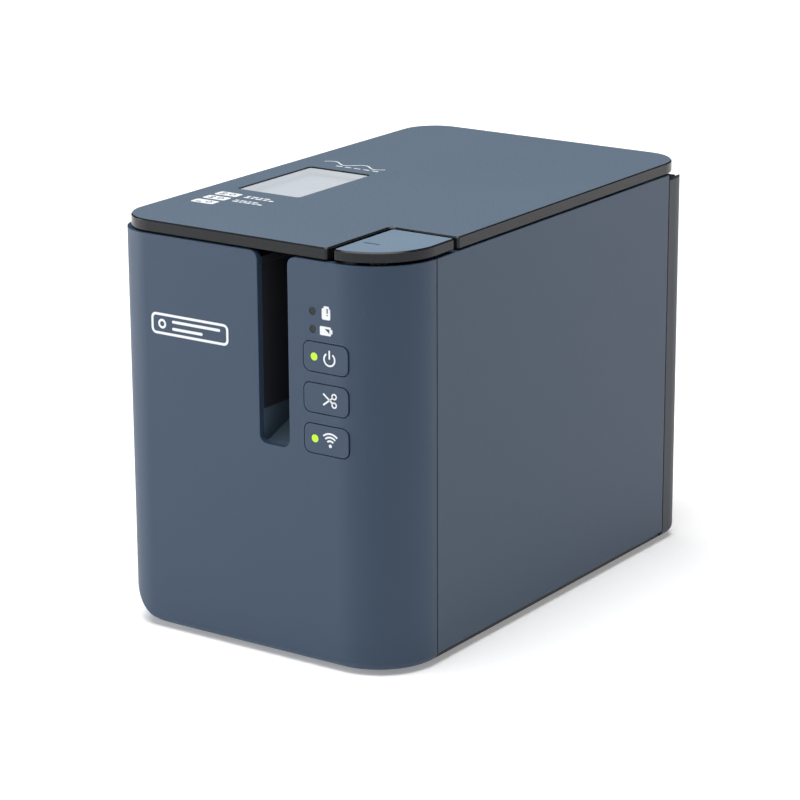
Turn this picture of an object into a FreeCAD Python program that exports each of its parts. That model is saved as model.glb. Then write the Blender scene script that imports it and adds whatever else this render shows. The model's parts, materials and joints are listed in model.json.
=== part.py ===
import FreeCAD, Part
import math
import os

# Desktop tape label maker, millimetres.  +X is right, -Y is the front, +Z is up.
# The origin is on the table under the middle of the body.

V = FreeCAD.Vector

# ---- driving dimensions: housing ----
WIDTH = 118.0
DEPTH = 192.0
HEIGHT = 146.0
WALL = 2.5
FOOT_HEIGHT = 1.5
FOOT_RADIUS = 7.0
FRONT_LEFT_RADIUS = 14.7
FRONT_RIGHT_RADIUS = 23.2
REAR_RADIUS = 11.0
LEFT_BOTTOM_RADIUS = 23.5
BOTTOM_EDGE_RADIUS = 3.0
REAR_BOTTOM_RADIUS = 16.0
REAR_TOP_RADIUS = 4.0
SEAM_GAP = 0.6
FRONT_COVER_DEPTH = 23.5
REAR_COVER_DEPTH = 16.0
REAR_COVER_DROP = 2.0
BASE_HEIGHT = 2.1
BASE_SIDE_INSET = 1.5
DECK_DROP = 2.3
DECK_THICKNESS = 2.5
FIT_GAP = 0.2

# ---- driving dimensions: lid and its hinge ----
LID_SKIRT = 4.0
LID_GAP = 0.7
LID_TOP = 2.2
LID_WALL = 1.8
LID_SIDE_INSET = 1.6
LID_RIGHT_INSET = 0.4
LID_FRONT_INSET = 0.7
LID_REAR_INSET = 3.0
LID_FRONT_RADIUS = 14.0
LID_REAR_RADIUS = 14.3
LID_EDGE_CHAMFER = 0.5
NOTCH_WIDTH = 27.5
NOTCH_DEPTH = 37.0
NOTCH_RADIUS = 2.0
HINGE_BACK = 7.5
HINGE_RADIUS = 2.2
HINGE_PIN_RADIUS = 1.0
HINGE_DROP = 0.2
HINGE_WEB = 3.4
EAR_WEB = 2.0
HINGE_SPREAD = 27.0
HINGE_KNUCKLE = 10.0
HINGE_EAR = 5.0
PIN_CLEARANCE = 0.05
TROUGH_DEPTH = 3.5

# ---- driving dimensions: lid window ----
WINDOW_LEFT = 12.0
WINDOW_WIDTH = 27.2
WINDOW_FRONT = 55.3
WINDOW_LENGTH = 44.3
WINDOW_RADIUS = 1.5
WINDOW_RECESS = 0.6
WINDOW_FLANGE = 1.5

# ---- driving dimensions: release button and latch ----
RELEASE_GAP = 2.5
RELEASE_REAR_GAP = 2.2
RELEASE_TRAVEL = 1.0
RELEASE_STOP_GAP = 0.1
RELEASE_CHAMFER = 0.6
RELEASE_WALL = 1.6
RELEASE_TOP = 2.0
STEM_SIDE = 4.0
SPRING_LENGTH = 9.0
SPRING_WIDTH = 6.0
SPRING_SHEET = 0.3
SPRING_FOOT = 5.0
SPRING_TIP = 1.5
LATCH_THICKNESS = 3.0
LATCH_WIDTH = 8.0

# ---- driving dimensions: label outlet and front panel ----
SLOT_LEFT = 62.5
SLOT_WIDTH = 12.5
SLOT_DROP = 65.8
SLOT_RADIUS = 3.0
CHUTE_WALL = 1.4
CHUTE_RISE = 8.5
BUTTON_WIDTH = 17.7
BUTTON_HEIGHT = 10.0
BUTTON_RADIUS = 2.5
BUTTON_GAP = 0.3
BUTTON_OFFSET = 21.3
BUTTON_PITCH = 14.05
BUTTON_TOP_DROP = 32.4
BUTTON_CAP = 4.0
BUTTON_TRAVEL = 0.8
SWITCH_HEIGHT = 2.2
LAMP_RADIUS = 1.35
LAMP_OFFSET = 4.7
STATUS_LENS_RADIUS = 1.35
STATUS_DROPS = (17.0, 23.1)
STATUS_OFFSET = 5.0

# ---- driving dimensions: cassette and tape ----
CASSETTE_WIDTH = 60.0
CASSETTE_LENGTH = 86.0
CASSETTE_HEIGHT = 46.0
CASSETTE_WALL = 1.5
CASSETTE_FRONT = 52.0
CASSETTE_DROP = 13.3
CASSETTE_NOTCH_WIDTH = 10.0
CASSETTE_NOTCH_DEPTH = 14.0
TAPE_WIDTH = 36.0
TAPE_THICKNESS = 0.2
ROLL_RADIUS = 19.0
ROLL_BORE = 5.0
SUPPLY_RADIUS = 9.0
SUPPLY_BORE = 3.0
TAKEUP_RADIUS = 8.0
BAY_WALL = 2.0
BAY_SIDE_ROOM = 4.5
BAY_RIGHT_ROOM = 22.0
BAY_FRONT_ROOM = 14.0
BAY_REAR_ROOM = 4.0

# ---- driving dimensions: gears, platen and cutter ----
GEAR_MODULE = 0.8
GEAR_THICKNESS = 4.0
GEAR_BACKLASH = 0.16
MESH_CLEARANCE = 0.1
MOTOR_TEETH = 12
DRIVE_TEETH = 30
PLATEN_TEETH = 20
SPINDLE_TEETH = 36
SECTOR_TEETH = 36
CUTTER_TEETH = 12
CHASSIS_THICKNESS = 1.2
CHASSIS_BELOW_BAY = 9.8
PLATEN_RADIUS = 6.0
PLATEN_SHAFT_RADIUS = 2.0
PLATEN_GAP = 0.15
ARM_PIN_RADIUS = 2.5
ARM_REACH = 32.0
BLADE_OPEN_ANGLE = 20.0
BLADE_LENGTH = 50.0
BLADE_WIDTH = 8.0
BLADE_THICKNESS = 1.0
BLADE_GAP = 0.3
BLADE_PIN_RADIUS = 2.0
SHEET = 1.2

# ---- places worked out from the driving dimensions ----
x_left = -WIDTH / 2
x_right = WIDTH / 2
y_front = -DEPTH / 2
y_back = DEPTH / 2
z_bottom = FOOT_HEIGHT
z_top = HEIGHT
z_skirt = z_top - LID_SKIRT
z_rim = z_skirt - LID_GAP
z_deck = z_rim - DECK_DROP
z_under_deck = z_deck - DECK_THICKNESS
z_lid_under = z_top - LID_TOP
z_rear_top = z_rim - REAR_COVER_DROP
z_floor = z_bottom + WALL
y_front_seam = y_front + FRONT_COVER_DEPTH
y_rear_seam = y_back - REAR_COVER_DEPTH
y_inside = y_front + WALL

slot_x0 = x_left + SLOT_LEFT
slot_x1 = slot_x0 + SLOT_WIDTH
slot_z = z_rim - SLOT_DROP
tape_x = (slot_x0 + slot_x1) / 2

hinge_y = y_back - HINGE_BACK
hinge_z = z_lid_under - HINGE_RADIUS - HINGE_DROP
lid_x0 = x_left + LID_SIDE_INSET
lid_x1 = x_right - LID_RIGHT_INSET
lid_y0 = y_front + LID_FRONT_INSET
lid_y1 = y_back - LID_REAR_INSET
notch_x = x_right - NOTCH_WIDTH
notch_y = y_front + NOTCH_DEPTH

cassette_x1 = tape_x + 2.25
cassette_x0 = cassette_x1 - CASSETTE_WIDTH
cassette_y0 = y_front + CASSETTE_FRONT
cassette_y1 = cassette_y0 + CASSETTE_LENGTH
cassette_z1 = z_rim - CASSETTE_DROP
cassette_z0 = cassette_z1 - CASSETTE_HEIGHT
tape_z0 = (cassette_z0 + cassette_z1 - TAPE_WIDTH) / 2
tape_z1 = tape_z0 + TAPE_WIDTH

bay_x0 = cassette_x0 - BAY_SIDE_ROOM
bay_x1 = cassette_x1 + BAY_RIGHT_ROOM
bay_y0 = cassette_y0 - BAY_FRONT_ROOM
bay_y1 = cassette_y1 + BAY_REAR_ROOM
bay_z = cassette_z0 - BAY_WALL

chassis_z1 = bay_z - CHASSIS_BELOW_BAY
chassis_z0 = chassis_z1 - CHASSIS_THICKNESS
gear_z0 = chassis_z1 + 0.8
gear_z1 = gear_z0 + GEAR_THICKNESS

platen_x = tape_x + TAPE_THICKNESS / 2 + PLATEN_GAP + PLATEN_RADIUS
platen_y = cassette_y0 + 6.0
arm_x = tape_x + 14.25
arm_y = platen_y + ARM_REACH


def mesh_distance(teeth_a, teeth_b):
    return GEAR_MODULE * (teeth_a + teeth_b) / 2 + MESH_CLEARANCE


drive_x = platen_x - mesh_distance(DRIVE_TEETH, PLATEN_TEETH)
drive_y = platen_y
SPINDLE_DIRECTION = 148.0
MOTOR_DIRECTION = 69.0
spindle_reach = mesh_distance(DRIVE_TEETH, SPINDLE_TEETH)
spindle_x = drive_x + spindle_reach * math.cos(math.radians(SPINDLE_DIRECTION))
spindle_y = drive_y + spindle_reach * math.sin(math.radians(SPINDLE_DIRECTION))
motor_reach = mesh_distance(DRIVE_TEETH, MOTOR_TEETH)
motor_x = drive_x + motor_reach * math.cos(math.radians(MOTOR_DIRECTION))
motor_y = drive_y + motor_reach * math.sin(math.radians(MOTOR_DIRECTION))

roll_x = cassette_x0 + CASSETTE_WALL + ROLL_RADIUS + 1.0
roll_y = cassette_y1 - CASSETTE_WALL - ROLL_RADIUS - 1.5
supply_x = cassette_x1 - CASSETTE_WALL - SUPPLY_RADIUS - 2.5
supply_y = roll_y - 16.0

cutter_y = bay_y0 - 3.0
frame_y0 = cutter_y - SHEET / 2
frame_y1 = cutter_y + SHEET / 2
fixed_y0 = frame_y0 - BLADE_THICKNESS
moving_y1 = fixed_y0 - BLADE_GAP
moving_y0 = moving_y1 - BLADE_THICKNESS
sector_y0 = moving_y0 - 2.0
bulkhead_y1 = sector_y0 - 1.3
bulkhead_y0 = bulkhead_y1 - SHEET
blade_x = tape_x + 1.25
blade_z = tape_z0 - 9.0
cutter_axis_z = blade_z - mesh_distance(SECTOR_TEETH, CUTTER_TEETH)

button_x = slot_x1 - SLOT_WIDTH / 2 + BUTTON_OFFSET
button_zs = [z_rim - BUTTON_TOP_DROP - BUTTON_PITCH * i for i in range(3)]
board_front = y_inside + 5.5
stem_x = x_right - 15.0
stem_y = y_front + 20.0
hook_y = notch_y + 5.0
latch_z0 = z_under_deck - 5.0
latch_z1 = latch_z0 + LATCH_THICKNESS


# ---- shape helpers ----
def box(x0, x1, y0, y1, z0, z1):
    return Part.makeBox(x1 - x0, y1 - y0, z1 - z0, V(x0, y0, z0))


def rod(radius, x, y, z0, z1):
    return Part.makeCylinder(radius, z1 - z0, V(x, y, z0), V(0, 0, 1))


def rod_x(radius, y, z, x0, x1):
    return Part.makeCylinder(radius, x1 - x0, V(x0, y, z), V(1, 0, 0))


def rod_y(radius, x, z, y0, y1):
    return Part.makeCylinder(radius, y1 - y0, V(x, y0, z), V(0, 1, 0))


def profile(corners):
    """A face in XY from corners (x, y, radius), each corner rounded with a tangent arc."""
    starts = []
    ends = []
    middles = []
    count = len(corners)
    for i in range(count):
        x, y, radius = corners[i]
        corner = V(x, y, 0)
        before = V(corners[i - 1][0], corners[i - 1][1], 0)
        after = V(corners[(i + 1) % count][0], corners[(i + 1) % count][1], 0)
        back = (before - corner).normalize()
        ahead = (after - corner).normalize()
        half = back.getAngle(ahead) / 2
        inward = (back + ahead).normalize()
        cut = radius / math.tan(half)
        starts.append(corner + back * cut)
        ends.append(corner + ahead * cut)
        middles.append(corner + inward * (radius / math.sin(half) - radius))
    edges = []
    for i in range(count):
        if corners[i][2] > 0:
            edges.append(Part.Arc(starts[i], middles[i], ends[i]).toShape())
        following = starts[(i + 1) % count]
        if ends[i].distanceToPoint(following) > 1e-6:
            edges.append(Part.LineSegment(ends[i], following).toShape())
    return Part.Face(Part.Wire(edges))


def prism_z(corners, z0, z1):
    solid = profile(corners).extrude(V(0, 0, z1 - z0))
    solid.translate(V(0, 0, z0))
    return solid


def prism_y(corners, y0, y1):
    """Corners are (x, z, radius)."""
    solid = profile(corners).extrude(V(0, 0, y0 - y1))
    solid.rotate(V(0, 0, 0), V(1, 0, 0), 90)
    solid.translate(V(0, y0, 0))
    return solid


def prism_x(corners, x0, x1):
    """Corners are (y, z, radius)."""
    solid = profile(corners).extrude(V(0, 0, x1 - x0))
    solid.rotate(V(0, 0, 0), V(0, 0, 1), 90)
    solid.rotate(V(0, 0, 0), V(0, 1, 0), 90)
    solid.translate(V(x0, 0, 0))
    return solid


def rectangle(a0, a1, b0, b1, radius):
    return [(a0, b0, radius), (a1, b0, radius), (a1, b1, radius), (a0, b1, radius)]


def notched(x0, x1, y0, y1, cut_x, cut_y, radii, inset):
    """A rectangle without its front right corner, moved inwards by inset all round."""
    front_left, notch, rear_right, rear_left, tip = radii
    return [
        (x0 + inset, y0 + inset, max(front_left - inset, 0.3)),
        (cut_x - inset, y0 + inset, max(tip - inset, 0.3)),
        (cut_x - inset, cut_y + inset, notch + inset),
        (x1 - inset, cut_y + inset, max(tip - inset, 0.3)),
        (x1 - inset, y1 - inset, max(rear_right - inset, 0.3)),
        (x0 + inset, y1 - inset, max(rear_left - inset, 0.3)),
    ]


def join(*shapes):
    solid = shapes[0]
    for shape in shapes[1:]:
        solid = solid.fuse(shape)
    return solid.removeSplitter()


def group(shapes):
    return Part.makeCompound(shapes)


def bevelled(outline, z0, z1, size):
    """A prism of outline(0) whose top edge is bevelled; outline(inset) gives the corners."""
    lower = profile(outline(0)).OuterWire
    upper = profile(outline(size)).OuterWire
    lower.translate(V(0, 0, z1 - size))
    upper.translate(V(0, 0, z1))
    bevel = Part.makeLoft([lower, upper], True, True)
    return prism_z(outline(0), z0, z1 - size).fuse(bevel)


def gear_phase(phase, teeth, mate_teeth, direction):
    """Angle of a mating gear's first tooth, for a mate that lies in the given direction."""
    pitch = 360.0 / teeth
    nearest = round((direction - phase) / pitch) * pitch + phase
    offset = nearest - direction
    return direction + 180 - offset * teeth / mate_teeth + 180.0 / mate_teeth


def involute(angle):
    return math.tan(angle) - angle


def gear(teeth, thickness, phase):
    """An external spur gear about Z, with 20 degree involute flanks and its first tooth at phase degrees."""
    pitch_radius = GEAR_MODULE * teeth / 2
    base_radius = pitch_radius * math.cos(math.radians(20))
    tip_radius = pitch_radius + GEAR_MODULE
    root_radius = pitch_radius - 1.25 * GEAR_MODULE
    half_tooth = (math.pi * GEAR_MODULE / 2 - GEAR_BACKLASH) / 2 / pitch_radius
    pressure = math.radians(20)
    flank = []
    steps = 5
    start = max(base_radius, root_radius)
    for i in range(steps + 1):
        radius = start + (tip_radius - start) * i / steps
        local = math.acos(min(1.0, base_radius / radius))
        flank.append((radius, half_tooth + involute(pressure) - involute(local)))
    if root_radius < start:
        flank.insert(0, (root_radius, flank[0][1]))
    points = []
    for tooth in range(teeth):
        middle = math.radians(phase) + 2 * math.pi * tooth / teeth
        for radius, half in flank:
            points.append(V(radius * math.cos(middle - half), radius * math.sin(middle - half), 0))
        for radius, half in reversed(flank):
            points.append(V(radius * math.cos(middle + half), radius * math.sin(middle + half), 0))
    points.append(points[0])
    return Part.Face(Part.makePolygon(points)).extrude(V(0, 0, thickness))


def gear_at(teeth, x, y, z0, z1, phase):
    solid = gear(teeth, z1 - z0, phase)
    solid.translate(V(x, y, z0))
    return solid


def turned_to_y(solid, x, y, z):
    """Turns a solid built about Z so that its axis is +Y, and moves its origin to (x, y, z)."""
    solid.rotate(V(0, 0, 0), V(1, 0, 0), -90)
    solid.translate(V(x, y, z))
    return solid


# ---- housing ----
def envelope(inset, z_high, rear_top_radius):
    """The body's outer form, moved inwards by inset, up to z_high."""
    plan = [
        (x_left + inset, y_front + inset, FRONT_LEFT_RADIUS - inset),
        (x_right - inset, y_front + inset, FRONT_RIGHT_RADIUS - inset),
        (x_right - inset, y_back - inset, REAR_RADIUS - inset),
        (x_left + inset, y_back - inset, REAR_RADIUS - inset),
    ]
    front = [
        (x_left + inset, z_bottom + inset, LEFT_BOTTOM_RADIUS - inset),
        (x_right - inset, z_bottom + inset, 0),
        (x_right - inset, z_high, 0),
        (x_left + inset, z_high, 0),
    ]
    side = [
        (y_front + inset, z_bottom + inset, 0),
        (y_back - inset, z_bottom + inset, REAR_BOTTOM_RADIUS - inset),
        (y_back - inset, z_high, rear_top_radius),
        (y_front + inset, z_high, 0),
    ]
    solid = prism_z(plan, z_bottom + inset, z_high)
    foot_edges = [edge for edge in solid.Edges if edge.BoundBox.ZMax < z_bottom + inset + 0.1]
    solid = solid.makeFillet(max(BOTTOM_EDGE_RADIUS - inset, 0.3), foot_edges)
    solid = solid.common(prism_y(front, y_front, y_back))
    return solid.common(prism_x(side, x_left, x_right))


def shell():
    return envelope(0, z_rim, 0).cut(envelope(WALL, z_rim + 1, 0))


def slot_cutter():
    """The label slot: rounded at its foot, and flared where it meets the rim."""
    flare = SLOT_RADIUS + 2
    corners = [
        (slot_x0 - flare, z_rim, 0),
        (slot_x0, z_rim, SLOT_RADIUS),
        (slot_x0, slot_z, SLOT_RADIUS),
        (slot_x1, slot_z, SLOT_RADIUS),
        (slot_x1, z_rim, SLOT_RADIUS),
        (slot_x1 + flare, z_rim, 0),
        (slot_x1 + flare, z_rim + flare, 0),
        (slot_x0 - flare, z_rim + flare, 0),
    ]
    return prism_y(corners, y_front - 1, y_inside + 1)


def button_outline(z, growth):
    half_width = BUTTON_WIDTH / 2 + growth
    half_height = BUTTON_HEIGHT / 2 + growth
    return rectangle(
        button_x - half_width, button_x + half_width,
        z - half_height, z + half_height, BUTTON_RADIUS + growth,
    )


status_x = button_x - STATUS_OFFSET
status_zs = [z_rim - drop for drop in STATUS_DROPS]
board_posts = [
    (button_x + 12.9, button_zs[2] - 5.5), (button_x + 12.9, button_zs[0] + 17.0),
    (button_x - 10.5, button_zs[2] - 8.3), (button_x - 10.5, button_zs[0] + 20.0),
]


def front_cover():
    solid = shell().common(box(x_left, x_right, y_front, y_front_seam, 0, z_top))
    solid = solid.cut(slot_cutter())
    for z in button_zs:
        solid = solid.cut(prism_y(button_outline(z, BUTTON_GAP), y_front - 1, y_inside + 1))
    for z in status_zs:
        solid = solid.cut(rod_y(STATUS_LENS_RADIUS, status_x, z, y_front - 1, y_inside + 1))
    for x, z in board_posts:
        solid = solid.fuse(rod_y(1.8, x, z, y_inside - 0.5, board_front))
    return solid


def side_panel(side):
    middle = shell().common(
        box(x_left, x_right, y_front_seam + SEAM_GAP, y_rear_seam, 0, z_top)
    )
    if side == "right":
        return middle.common(box(x_right - WALL, x_right, y_front, y_back, z_floor + 0.1, z_top))
    return middle.common(box(x_left, x_left + LEFT_BOTTOM_RADIUS, y_front, y_back, 0, z_top))


def base_tray():
    outline = box(
        x_left + LEFT_BOTTOM_RADIUS + SEAM_GAP, x_right - BASE_SIDE_INSET,
        y_front_seam + SEAM_GAP, y_rear_seam, 0, z_bottom + BASE_HEIGHT,
    )
    solid = envelope(0, z_rim, 0).common(outline)
    for x, y in foot_places():
        solid = solid.cut(rod(FOOT_RADIUS, x, y, 0, z_bottom + 0.6))
    for x, y in board_standoffs():
        solid = solid.fuse(rod(3.0, x, y, z_bottom + BASE_HEIGHT, board_z0))
    for x, y in screw_places():
        solid = solid.cut(rod(1.6, x, y, 0, z_top))
        solid = solid.cut(rod(3.2, x, y, 0, z_bottom + 1.1))
    return solid


def rear_cover():
    outer = envelope(0, z_rear_top, REAR_TOP_RADIUS)
    inner = envelope(WALL, z_rear_top - WALL, REAR_TOP_RADIUS - WALL)
    keep = box(x_left, x_right, y_rear_seam + SEAM_GAP, y_back, 0, z_top)
    solid = outer.cut(inner).common(keep)
    trough_end = lid_y1 + 1.7
    inside = x_right - WALL
    solid = solid.cut(box(-inside, inside, y_rear_seam - 1, trough_end, z_under_deck - 0.5, z_top))
    for x0, x1, z0, z1 in port_places().values():
        solid = solid.cut(box(x0, x1, y_back - REAR_BOTTOM_RADIUS, y_back + 1, z0, z1))
    for row in range(VENT_ROWS):
        z = vent_z + row * VENT_PITCH
        for side in (-1, 1):
            centre = side * VENT_OFFSET
            corners = rectangle(centre - VENT_HALF, centre + VENT_HALF, z, z + VENT_OPENING, 0.9)
            solid = solid.cut(prism_y(corners, y_back - WALL - 1, y_back + 1))
    return solid


VENT_ROWS = 6
VENT_PITCH = 5.0
VENT_OPENING = 2.0
VENT_HALF = 14.0
VENT_OFFSET = 20.0
vent_z = z_rear_top - 55.0
BOARD_THICKNESS = 1.6
board_z0 = z_bottom + 9.0
board_z1 = board_z0 + BOARD_THICKNESS
board_x0 = x_left + 14.0
board_x1 = x_right - 12.0
board_y0 = y_back - 112.0
board_y1 = y_back - WALL - 3.0
SOCKET_DEPTH = 15.0
SOCKET_RECESS = 1.2
socket_y = y_back - SOCKET_RECESS


def port_places():
    """Each socket's opening in the rear wall: x0, x1, z0, z1."""
    clear = FIT_GAP
    places = {}
    for name, x, width, height in PORTS:
        places[name] = (
            x - width / 2 - clear, x + width / 2 + clear,
            board_z1 - clear, board_z1 + height + clear,
        )
    return places


PORTS = (("dc", -32.0, 11.0, 11.0), ("usb", -8.0, 12.0, 11.0), ("serial", 16.0, 15.0, 12.5))


def foot_places():
    left = x_left + LEFT_BOTTOM_RADIUS + 12.0
    right = x_right - 16.0
    return [(x, y) for x in (left, right) for y in (y_front_seam + 13.0, y_rear_seam - 13.0)]


def screw_places():
    left = x_left + LEFT_BOTTOM_RADIUS + 5.0
    right = x_right - WALL - 4.5
    return [(x, y) for x in (left, right) for y in (y_front_seam + 30.0, y_rear_seam - 30.0)]


def board_standoffs():
    return [
        (x, y) for x in (x_left + LEFT_BOTTOM_RADIUS + 5.0, board_x1 - 5.0)
        for y in (board_y0 + 5.0, y_rear_seam - 8.0)
    ]


def rubber_feet():
    return group([rod(FOOT_RADIUS - 0.1, x, y, 0, z_bottom + 0.6) for x, y in foot_places()])


def base_screws():
    screws = []
    for x, y in screw_places():
        head = rod(3.0, x, y, z_bottom + 0.2, z_bottom + 1.1)
        head = head.cut(box(x - 2.2, x + 2.2, y - 0.4, y + 0.4, z_bottom, z_bottom + 0.7))
        head = head.cut(box(x - 0.4, x + 0.4, y - 2.2, y + 2.2, z_bottom, z_bottom + 0.7))
        screws.append(head.fuse(rod(1.5, x, y, z_bottom + 1.1, z_bottom + 7.0)))
    return group(screws)


# ---- top deck, cassette bay and outlet ----
trough_half = x_right - 7.0
trough_y0 = y_rear_seam + 0.5
trough_z = z_under_deck - 1.0 + DECK_THICKNESS - TROUGH_DEPTH


def top_deck():
    inside = envelope(WALL + FIT_GAP, z_rim, 0)
    solid = inside.common(box(x_left, x_right, y_front, lid_y1 + 1.5, z_under_deck, z_deck))
    solid = solid.cut(box(bay_x0 + BAY_WALL, bay_x1 - BAY_WALL, bay_y0 + BAY_WALL,
                          bay_y1 - BAY_WALL, z_under_deck - 1, z_top))
    solid = solid.cut(box(slot_x0, slot_x1, y_front, bay_y0 + BAY_WALL + 1, z_under_deck - 1, z_top))
    solid = solid.cut(box(stem_x - 2.4, stem_x + 2.4, stem_y - 2.4, stem_y + 2.4, z_under_deck - 1, z_top))
    solid = solid.cut(box(stem_x - 3.5, stem_x + 3.5, hook_y - 5.0, hook_y + 3.5, z_under_deck - 1, z_top))
    trough = box(-trough_half, trough_half, trough_y0, y_back, trough_z + 1.0, z_top)
    tray = inside.common(box(-trough_half - 1.5, trough_half + 1.5, trough_y0 - 1.5, lid_y1 + 1.5,
                             trough_z, z_under_deck))
    solid = solid.fuse(tray).cut(trough)
    for side in (-1, 1):
        for offset in (-1, 1):
            ear_x = side * HINGE_SPREAD + offset * (HINGE_KNUCKLE / 2 + FIT_GAP + HINGE_EAR / 2)
            x0 = ear_x - HINGE_EAR / 2
            x1 = ear_x + HINGE_EAR / 2
            ear_radius = HINGE_RADIUS - 0.3
            ear = rod_x(ear_radius, hinge_y, hinge_z, x0, x1)
            leg = box(x0, x1, hinge_y - EAR_WEB / 2, hinge_y + EAR_WEB / 2, trough_z + 1.0, hinge_z)
            solid = solid.fuse(ear).fuse(leg)
            solid = solid.cut(rod_x(HINGE_PIN_RADIUS, hinge_y, hinge_z, x0, x1))
    return solid.removeSplitter()


def hinge_pins():
    reach = HINGE_KNUCKLE / 2 + FIT_GAP + HINGE_EAR
    return group([
        rod_x(HINGE_PIN_RADIUS, hinge_y, hinge_z, side * HINGE_SPREAD - reach, side * HINGE_SPREAD + reach)
        for side in (-1, 1)
    ])


head_cut = (tape_x - 9.75, arm_x + 8.0, bay_y0 + 4.0, platen_y + 10.0)


def cassette_bay():
    outer = prism_z(rectangle(bay_x0, bay_x1, bay_y0, bay_y1, 4.0), bay_z, z_under_deck)
    inner = prism_z(
        rectangle(bay_x0 + BAY_WALL, bay_x1 - BAY_WALL, bay_y0 + BAY_WALL, bay_y1 - BAY_WALL, 2.0),
        bay_z + BAY_WALL, z_under_deck + 1,
    )
    solid = outer.cut(inner)
    solid = solid.cut(box(slot_x0, slot_x1, bay_y0 - 1, bay_y0 + BAY_WALL + 1, bay_z + BAY_WALL + 2.0, z_top))
    x0, x1, y0, y1 = head_cut
    solid = solid.cut(box(x0, x1, y0, y1, bay_z - 1, bay_z + BAY_WALL + 1))
    solid = solid.cut(rod(5.0, spindle_x, spindle_y, bay_z - 1, bay_z + BAY_WALL + 1))
    solid = solid.cut(rod(ARM_PIN_RADIUS, arm_x, arm_y, bay_z - 1, bay_z + BAY_WALL + 1))
    for side_y in (bay_y0 + 30.0, bay_y1 - 20.0):
        rib = box(bay_x1 - BAY_WALL - 6.0, bay_x1 - BAY_WALL, side_y, side_y + 1.5,
                  bay_z + BAY_WALL, z_under_deck - 8.0)
        if side_y > arm_y + 8.0:
            solid = solid.fuse(rib)
    return solid


chute_y1 = bulkhead_y0 + 1.0


def outlet_chute():
    """A channel behind the slot, whose floor climbs from the slot's foot towards the cutter."""
    outer = box(slot_x0 - CHUTE_WALL, slot_x1 + CHUTE_WALL, y_inside, chute_y1,
                slot_z - CHUTE_WALL, z_under_deck)
    passage = prism_x([
        (y_inside - 1, slot_z, 0), (y_inside + 3.0, slot_z, 0), (chute_y1, slot_z + CHUTE_RISE, 0),
        (chute_y1 + 1, slot_z + CHUTE_RISE, 0), (chute_y1 + 1, z_top, 0), (y_inside - 1, z_top, 0),
    ], slot_x0, slot_x1)
    return outer.cut(passage)


def latch_guide():
    x0 = stem_x - LATCH_WIDTH / 2 - 0.2
    x1 = stem_x + LATCH_WIDTH / 2 + 0.2
    y0 = stem_y - 8.0
    y1 = hook_y + 8.5
    outer = box(x0 - 1.3, x1 + 1.3, y0, y1, latch_z0 - 2.4, z_under_deck)
    solid = outer.cut(box(x0, x1, y0 - 1, y1 + 1, latch_z0 - FIT_GAP, z_under_deck + 1))
    return solid.cut(box(stem_x - 3.0, stem_x + 3.0, stem_y - 4.0, hook_y + 3.5, latch_z0 - 3, z_top))


def latch_slider():
    """A plate with a window for the button's stem and one for the lid's hook."""
    x0 = stem_x - LATCH_WIDTH / 2
    x1 = stem_x + LATCH_WIDTH / 2
    solid = box(x0, x1, stem_y - 5.5, hook_y + 6.0, latch_z0, latch_z1)
    ramp_top = stem_y + STEM_SIDE / 2 + 0.7
    ramp_foot = ramp_top - LATCH_THICKNESS
    window = prism_x([
        (stem_y - STEM_SIDE / 2 - 1.5, latch_z0 - 1, 0), (ramp_foot - 1, latch_z0 - 1, 0),
        (ramp_top + 1, latch_z1 + 1, 0), (stem_y - STEM_SIDE / 2 - 1.5, latch_z1 + 1, 0),
    ], stem_x - 2.3, stem_x + 2.3)
    solid = solid.cut(window)
    return solid.cut(box(stem_x - 2.6, stem_x + 2.6, hook_y - 4.5, hook_y + 2.2, latch_z0 - 1, latch_z1 + 1))


# ---- lid ----
LID_RADII = (LID_FRONT_RADIUS, NOTCH_RADIUS, LID_REAR_RADIUS, LID_REAR_RADIUS, 1.0)


def lid_outline(inset):
    return notched(lid_x0, lid_x1, lid_y0, lid_y1, notch_x, notch_y, LID_RADII, inset)


def window_outline(growth):
    x0 = x_left + WINDOW_LEFT
    y0 = y_front + WINDOW_FRONT
    return rectangle(x0 - growth, x0 + WINDOW_WIDTH + growth,
                     y0 - growth, y0 + WINDOW_LENGTH + growth, WINDOW_RADIUS + growth)


def top_lid():
    solid = bevelled(lid_outline, z_skirt, z_top, LID_EDGE_CHAMFER)
    solid = solid.cut(prism_z(lid_outline(LID_WALL), z_skirt - 1, z_lid_under))
    solid = solid.cut(prism_z(window_outline(0), z_skirt, z_top + 1))
    for side in (-1, 1):
        x0 = side * HINGE_SPREAD - HINGE_KNUCKLE / 2
        x1 = side * HINGE_SPREAD + HINGE_KNUCKLE / 2
        solid = solid.fuse(rod_x(HINGE_RADIUS, hinge_y, hinge_z, x0, x1))
        solid = solid.fuse(box(x0, x1, hinge_y - HINGE_WEB / 2, hinge_y + HINGE_WEB / 2,
                               hinge_z, z_lid_under + 0.2))
        solid = solid.cut(rod_x(HINGE_PIN_RADIUS + PIN_CLEARANCE, hinge_y, hinge_z, x0 - 1, x1 + 1))
    return solid.removeSplitter()


def lid_window():
    pane = prism_z(window_outline(-0.1), z_lid_under, z_top - WINDOW_RECESS)
    return pane.fuse(prism_z(window_outline(WINDOW_FLANGE), z_lid_under - 1.2, z_lid_under)).removeSplitter()


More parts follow.
